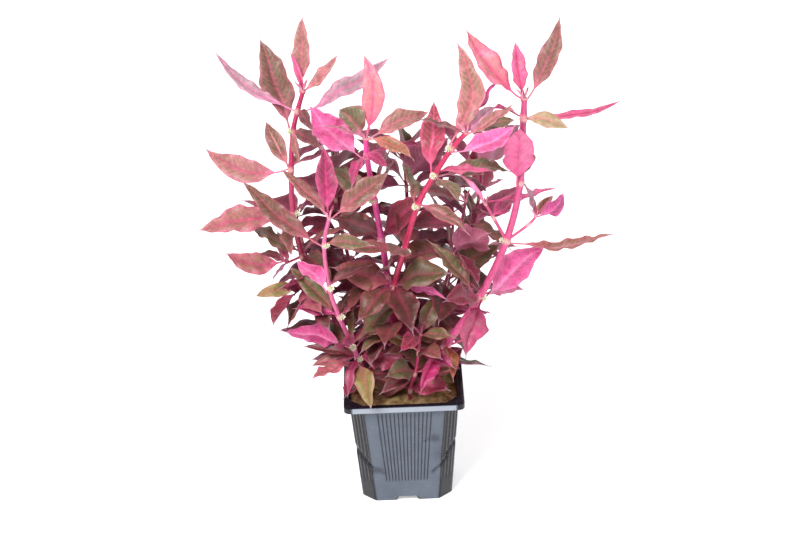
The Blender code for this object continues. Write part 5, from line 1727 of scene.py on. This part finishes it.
def helper(solid):
    """A shape in metres that is joined to a piece or cut from it."""
    points, faces = solid
    mesh = bpy.data.meshes.new("helper")
    mesh.from_pydata([tuple(float(c) * MM for c in p) for p in points], [], faces)
    shape = bmesh.new()
    shape.from_mesh(mesh)
    bmesh.ops.recalc_face_normals(shape, faces=shape.faces)
    shape.to_mesh(mesh)
    shape.free()
    made = bpy.data.objects.new("helper", mesh)
    bpy.context.scene.collection.objects.link(made)
    return made


def combined(made, helpers, operation):
    """Joins the helpers to the piece, or cuts them from it, and removes them."""
    group = bpy.data.collections.new(made.name + "_helpers")
    bpy.context.scene.collection.children.link(group)
    for each in helpers:
        bpy.context.scene.collection.objects.unlink(each)
        group.objects.link(each)
    modifier = made.modifiers.new(operation.title(), "BOOLEAN")
    modifier.operation = operation
    modifier.operand_type = "COLLECTION"
    modifier.collection = group
    modifier.solver = "EXACT"
    evaluated = made.evaluated_get(bpy.context.evaluated_depsgraph_get())
    mesh = bpy.data.meshes.new_from_object(evaluated)
    made.modifiers.remove(modifier)
    made.data = mesh
    for each in helpers:
        bpy.data.objects.remove(each)
    bpy.data.collections.remove(group)


def wool_height(x, y, lumps):
    """The block's top: a low crown with lumps of two sizes."""
    out = max(abs(x), abs(y)) / (NECK_HALF - WALL)
    z = WOOL_TOP + WOOL_CROWN * (1 - out * out)
    for cx, cy, radius, height in lumps:
        z += height * math.exp(-((x - cx) ** 2 + (y - cy) ** 2) / radius ** 2)
    return z


def wool_top(lumps, half_top):
    """The points of the block's lumpy top, cell by cell, held inside the pot's bevelled corners."""
    points = []
    for i in range(WOOL_CELLS + 1):
        for j in range(WOOL_CELLS + 1):
            x = (2 * i / WOOL_CELLS - 1) * half_top
            y = (2 * j / WOOL_CELLS - 1) * half_top
            beyond = abs(x) + abs(y) - (2 * half_top - CORNER_BEVEL)
            if beyond > 0:
                x -= math.copysign(beyond / 2, x)
                y -= math.copysign(beyond / 2, y)
            points.append((x, y, wool_height(x, y, lumps)))
    return points


def wool_block(lumps, half_top):
    """The block as a closed shape: its lumpy top, four sides that run in, and a flat bottom."""
    cells = WOOL_CELLS
    row = cells + 1
    points = wool_top(lumps, half_top)
    faces = [(i * row + j, (i + 1) * row + j, (i + 1) * row + j + 1, i * row + j + 1)
             for i in range(cells) for j in range(cells)]
    border = [i * row for i in range(row)]
    border += [cells * row + j for j in range(1, row)]
    border += [i * row + cells for i in range(cells - 1, -1, -1)]
    border += [j for j in range(cells - 1, 0, -1)]
    bottom = CHANNEL_HEIGHT + FLOOR_THICKNESS + GAP
    shrink = (wall_half(bottom) - WALL - GAP - WOOL_SHY) / half_top
    start = len(points)
    points += [(points[b][0] * shrink, points[b][1] * shrink, bottom) for b in border]
    for n, b in enumerate(border):
        m = (n + 1) % len(border)
        faces.append((border[m], b, start + n, start + m))
    faces.append(tuple(start + n for n in range(len(border))))
    return points, faces


def add_fibre(mesh, lumps, half_top, chance, x, y):
    """One loose fibre, which lies on the wool and winds from a place in some direction."""
    heading = chance.uniform(0, 2 * math.pi)
    step_length = chance.uniform(*FIBRE_LENGTHS) / FIBRE_STEPS
    edge = half_top - FIBRE_STOP
    course = []
    for step in range(FIBRE_STEPS + 1):
        arch = FIBRE_ARCH * math.sin(math.pi * step / FIBRE_STEPS) * chance.random()
        z = wool_height(x, y, lumps) + FIBRE_LIFT + arch
        course.append((np.array([x, y, z]), FIBRE_RADIUS))
        x = max(-edge, min(edge, x + step_length * math.cos(heading)))
        y = max(-edge, min(edge, y + step_length * math.sin(heading)))
        heading += chance.uniform(-FIBRE_TURN, FIBRE_TURN)
    mesh.add(*tube(course, FIBRE_SIDES), 0)


def fine_wool(look):
    """The block of wool with a lumpy top, and loose fibres lying on it."""
    chance = random.Random(WOOL_SEED)
    half_top = wall_half(WOOL_TOP) - WALL - GAP
    lumps = [(chance.uniform(-LUMP_REACH, LUMP_REACH), chance.uniform(-LUMP_REACH, LUMP_REACH),
              radius, height * chance.choice((-1, 1)))
             for radius, height, count in LUMPS for _ in range(count)]
    mesh = Mesh()
    mesh.add(*wool_block(lumps, half_top), 0)
    for _ in range(FIBRES):
        x = chance.uniform(-1, 1) * (half_top - FIBRE_EDGE)
        y = chance.uniform(-1, 1) * (half_top - FIBRE_EDGE)
        if abs(x) + abs(y) <= 2 * half_top - CORNER_BEVEL - FIBRE_CORNER:
            add_fibre(mesh, lumps, half_top, chance, x, y)
    wool = mesh.piece("mineral_wool_block", [look])
    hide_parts("growing_medium")


def crown_leaves(stem):
    """The youngest leaves, which stand close together at the top of a stem."""
    size = SHOOT_TIP_SIZE if stem in SHOOTS else 1.0
    grown = []
    for n, (length, width, heading, rise) in enumerate(TIP_LEAVES):
        look = "rosy" if n % 2 else "pink"
        grown.append(Leaf(stem, -1, heading, rise, length * size, width * size, look,
                          bow=TIP_LEAF_BOW, roll=0, fold=TIP_LEAF_FOLD))
    return grown


def grown_plant():
    """The plant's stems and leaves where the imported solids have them."""
    plant = Plant()
    solids = {}
    for stem, (radius, points) in STEMS.items():
        solids[stem] = [plant.add_stem(stem, stem, points, radius, TIP_SHARE, NODE_SWELLING)]
    for stem, (radius, points) in INNER_STEMS.items():
        solids[stem] = [plant.add_stem(stem, stem, points, radius, TIP_SHARE, 1.0)]
    for shoot, (stem, node, radius, points) in SHOOTS.items():
        course = [STEMS[stem][1][node]] + points
        solids[stem].append(plant.add_stem(shoot, stem, course, radius, SHOOT_TIP_SHARE, NODE_SWELLING))
    plant.take(pot_room())
    for stem_and_shoots in solids.values():
        for solid in stem_and_shoots:
            plant.take(solid)
    for stem, node, heading in FLOWERS:
        plant.take(flower_solid(plant, stem, node, heading))
    grown = sorted(LEAVES + DEEPER_LEAVES, key=lambda leaf: (not leaf.own, leaf.plain))
    placed = [leaf for leaf in grown if place(plant, leaf, *PHOTO_TURNS)]
    placed += [leaf for leaf in hidden_leaves() if place(plant, leaf, *HIDDEN_TURNS)]
    return plant, placed


def dress_leaves(plant, placed, pieces, skins):
    """Each own leaf as a piece that replaces its solid, and each small one on the piece of its stem."""
    counts = dict.fromkeys(pieces, 0)
    for seed, leaf in enumerate(placed):
        stem = plant.owner[leaf.stem]
        base, tip = plant.ends(leaf)
        if not leaf.own:
            fine_blade(pieces[stem], leaf, base, tip, seed)
            continue
        counts[stem] += 1
        node = stem.replace("_stem", "_leaf_") + str(counts[stem])
        radius = plant.nodes[leaf.stem][leaf.node][1]
        reach_in = (NODE_SWELLING * radius + PETIOLE_RADIUS + GAP) / leaf.length
        mesh = Mesh()
        fine_blade(mesh, leaf, base, tip, seed, -reach_in)
        blade = mesh.piece(node + "_blade", skins)
        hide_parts(node)


def dress_stems(plant, pieces):
    """Every stem and shoot with the youngest leaves at its top. The flower stalk has none."""
    for name, nodes in plant.nodes.items():
        owner = plant.owner[name]
        swelling = INNER_SWELLING if name in INNER_STEMS else NODE_SWELLING
        fine_stem(pieces[owner], nodes, swelling, STEM_TONES.get(owner, INNER_STEM_TONE))
        if name == "flower_stalk":
            continue
        top, radius, along = nodes[-1]
        start = top - TIP_LEAF_SINK * radius * along
        for n, leaf in enumerate(crown_leaves(name)):
            tip = start + leaf.length * direction(leaf.heading, leaf.rise)
            fine_blade(pieces[owner], leaf, start, tip, TIP_LEAF_SEED + n)


def dress_plant(plant, placed, skins):
    """Every blade, stem and flower head as fine pieces that replace the solids."""
    pieces = {stem: Mesh() for stem in list(STEMS) + list(INNER_STEMS)}
    dress_leaves(plant, placed, pieces, [skins[UPPER_SKIN], skins[LOWER_SKIN]])
    dress_stems(plant, pieces)
    for n, (name, node, heading) in enumerate(FLOWERS):
        centre, outward, along = flower_place(plant, name, node, heading)
        flower_head(pieces[plant.owner[name]], centre, outward + FLOWER_RISE * along, FLOWER_SEED + n)
    for stem, mesh in pieces.items():
        made = mesh.piece(stem + "_living", skins)
        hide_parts(stem)


def place_camera():
    """The camera of the photo: above the table, looking down at the plant, with its long lens."""
    pitch = math.radians(CAMERA_PITCH)
    roll = math.radians(CAMERA_ROLL)
    ahead = Vector((0.0, math.cos(pitch), -math.sin(pitch)))
    level = Vector((1.0, 0.0, 0.0))
    over = level.cross(ahead)
    right = math.cos(roll) * level + math.sin(roll) * over
    up = -math.sin(roll) * level + math.cos(roll) * over
    data = bpy.data.cameras.new("camera")
    data.sensor_width = SENSOR_WIDTH
    data.lens = PHOTO_FOCAL / PHOTO_WIDTH * SENSOR_WIDTH
    data.clip_start, data.clip_end = CLIP_METRES
    made = bpy.data.objects.new("camera", data)
    bpy.context.scene.collection.objects.link(made)
    turn = Matrix((right, up, -ahead)).transposed()
    spot = (Vector(CAMERA_TARGET) - CAMERA_DISTANCE * ahead) * MM
    made.matrix_world = Matrix.Translation(spot) @ turn.to_4x4()
    bpy.context.scene.camera = made


def soft_lamp(name, spot, size, power):
    """A large square soft box that points at the plant."""
    data = bpy.data.lights.new(name, "AREA")
    data.shape = "SQUARE"
    data.size = size
    data.energy = power
    made = bpy.data.objects.new(name, data)
    bpy.context.scene.collection.objects.link(made)
    made.location = spot
    made.rotation_mode = "QUATERNION"
    made.rotation_quaternion = (Vector(LAMP_AIM) - Vector(spot)).to_track_quat("-Z", "Y")


def studio_paper():
    """White paper that is lit from below as well, so that it looks as white as a cut-out background."""
    made, tree, shader = shaded("white studio paper", 0.8, Specular_IOR_Level=0.2)
    rest = add_node(tree, "ShaderNodeTexCoord", {}, "Object")
    cloud = add_node(tree, "ShaderNodeTexNoise", {"Vector": rest, "Scale": repeats(PAPER_CLOUD)})
    darker, lighter = PAPER_TONES
    colour = add_node(tree, "ShaderNodeMix", {0: cloud, 6: darker, 7: lighter}, 2, data_type="RGBA")
    tree.links.new(colour, shader.inputs["Base Color"])
    shader.inputs["Emission Color"].default_value = linear("ffffff")
    shader.inputs["Emission Strength"].default_value = TABLE_GLOW
    return made


def studio():
    """A lit white table under an even white sky, with a soft box over the left shoulder and weaker ones
    right and behind."""
    world = bpy.data.worlds.new("white studio")
    bpy.context.scene.world = world
    world.use_nodes = True
    sky = world.node_tree.nodes["Background"]
    sky.inputs["Color"].default_value = linear("ffffff")
    sky.inputs["Strength"].default_value = SKY_STRENGTH
    for name, (spot, size, power) in LAMPS.items():
        soft_lamp(name, spot, size, power)
    mesh = bpy.data.meshes.new("floor")
    reach = TABLE_REACH
    corners = [(-reach, -reach, 0), (reach, -reach, 0), (reach, reach, 0), (-reach, reach, 0)]
    mesh.from_pydata(corners, [], [(0, 1, 2, 3)])
    mesh.materials.append(studio_paper())
    floor = bpy.data.objects.new("floor", mesh)
    bpy.context.scene.collection.objects.link(floor)
    bpy.context.scene.view_settings.view_transform = "Standard"


def main():
    skins = [
        living_leaf("alternanthera leaf upper skin", UPPER_RELIEF),
        living_leaf("alternanthera leaf lower skin", LOWER_RELIEF),
        living_stem(),
        papery_bract(),
    ]
    plant, placed = grown_plant()
    dress_plant(plant, placed, skins)
    fine_pot(black_polypropylene())
    fine_wool(mineral_wool())
    place_camera()
    studio()


main()
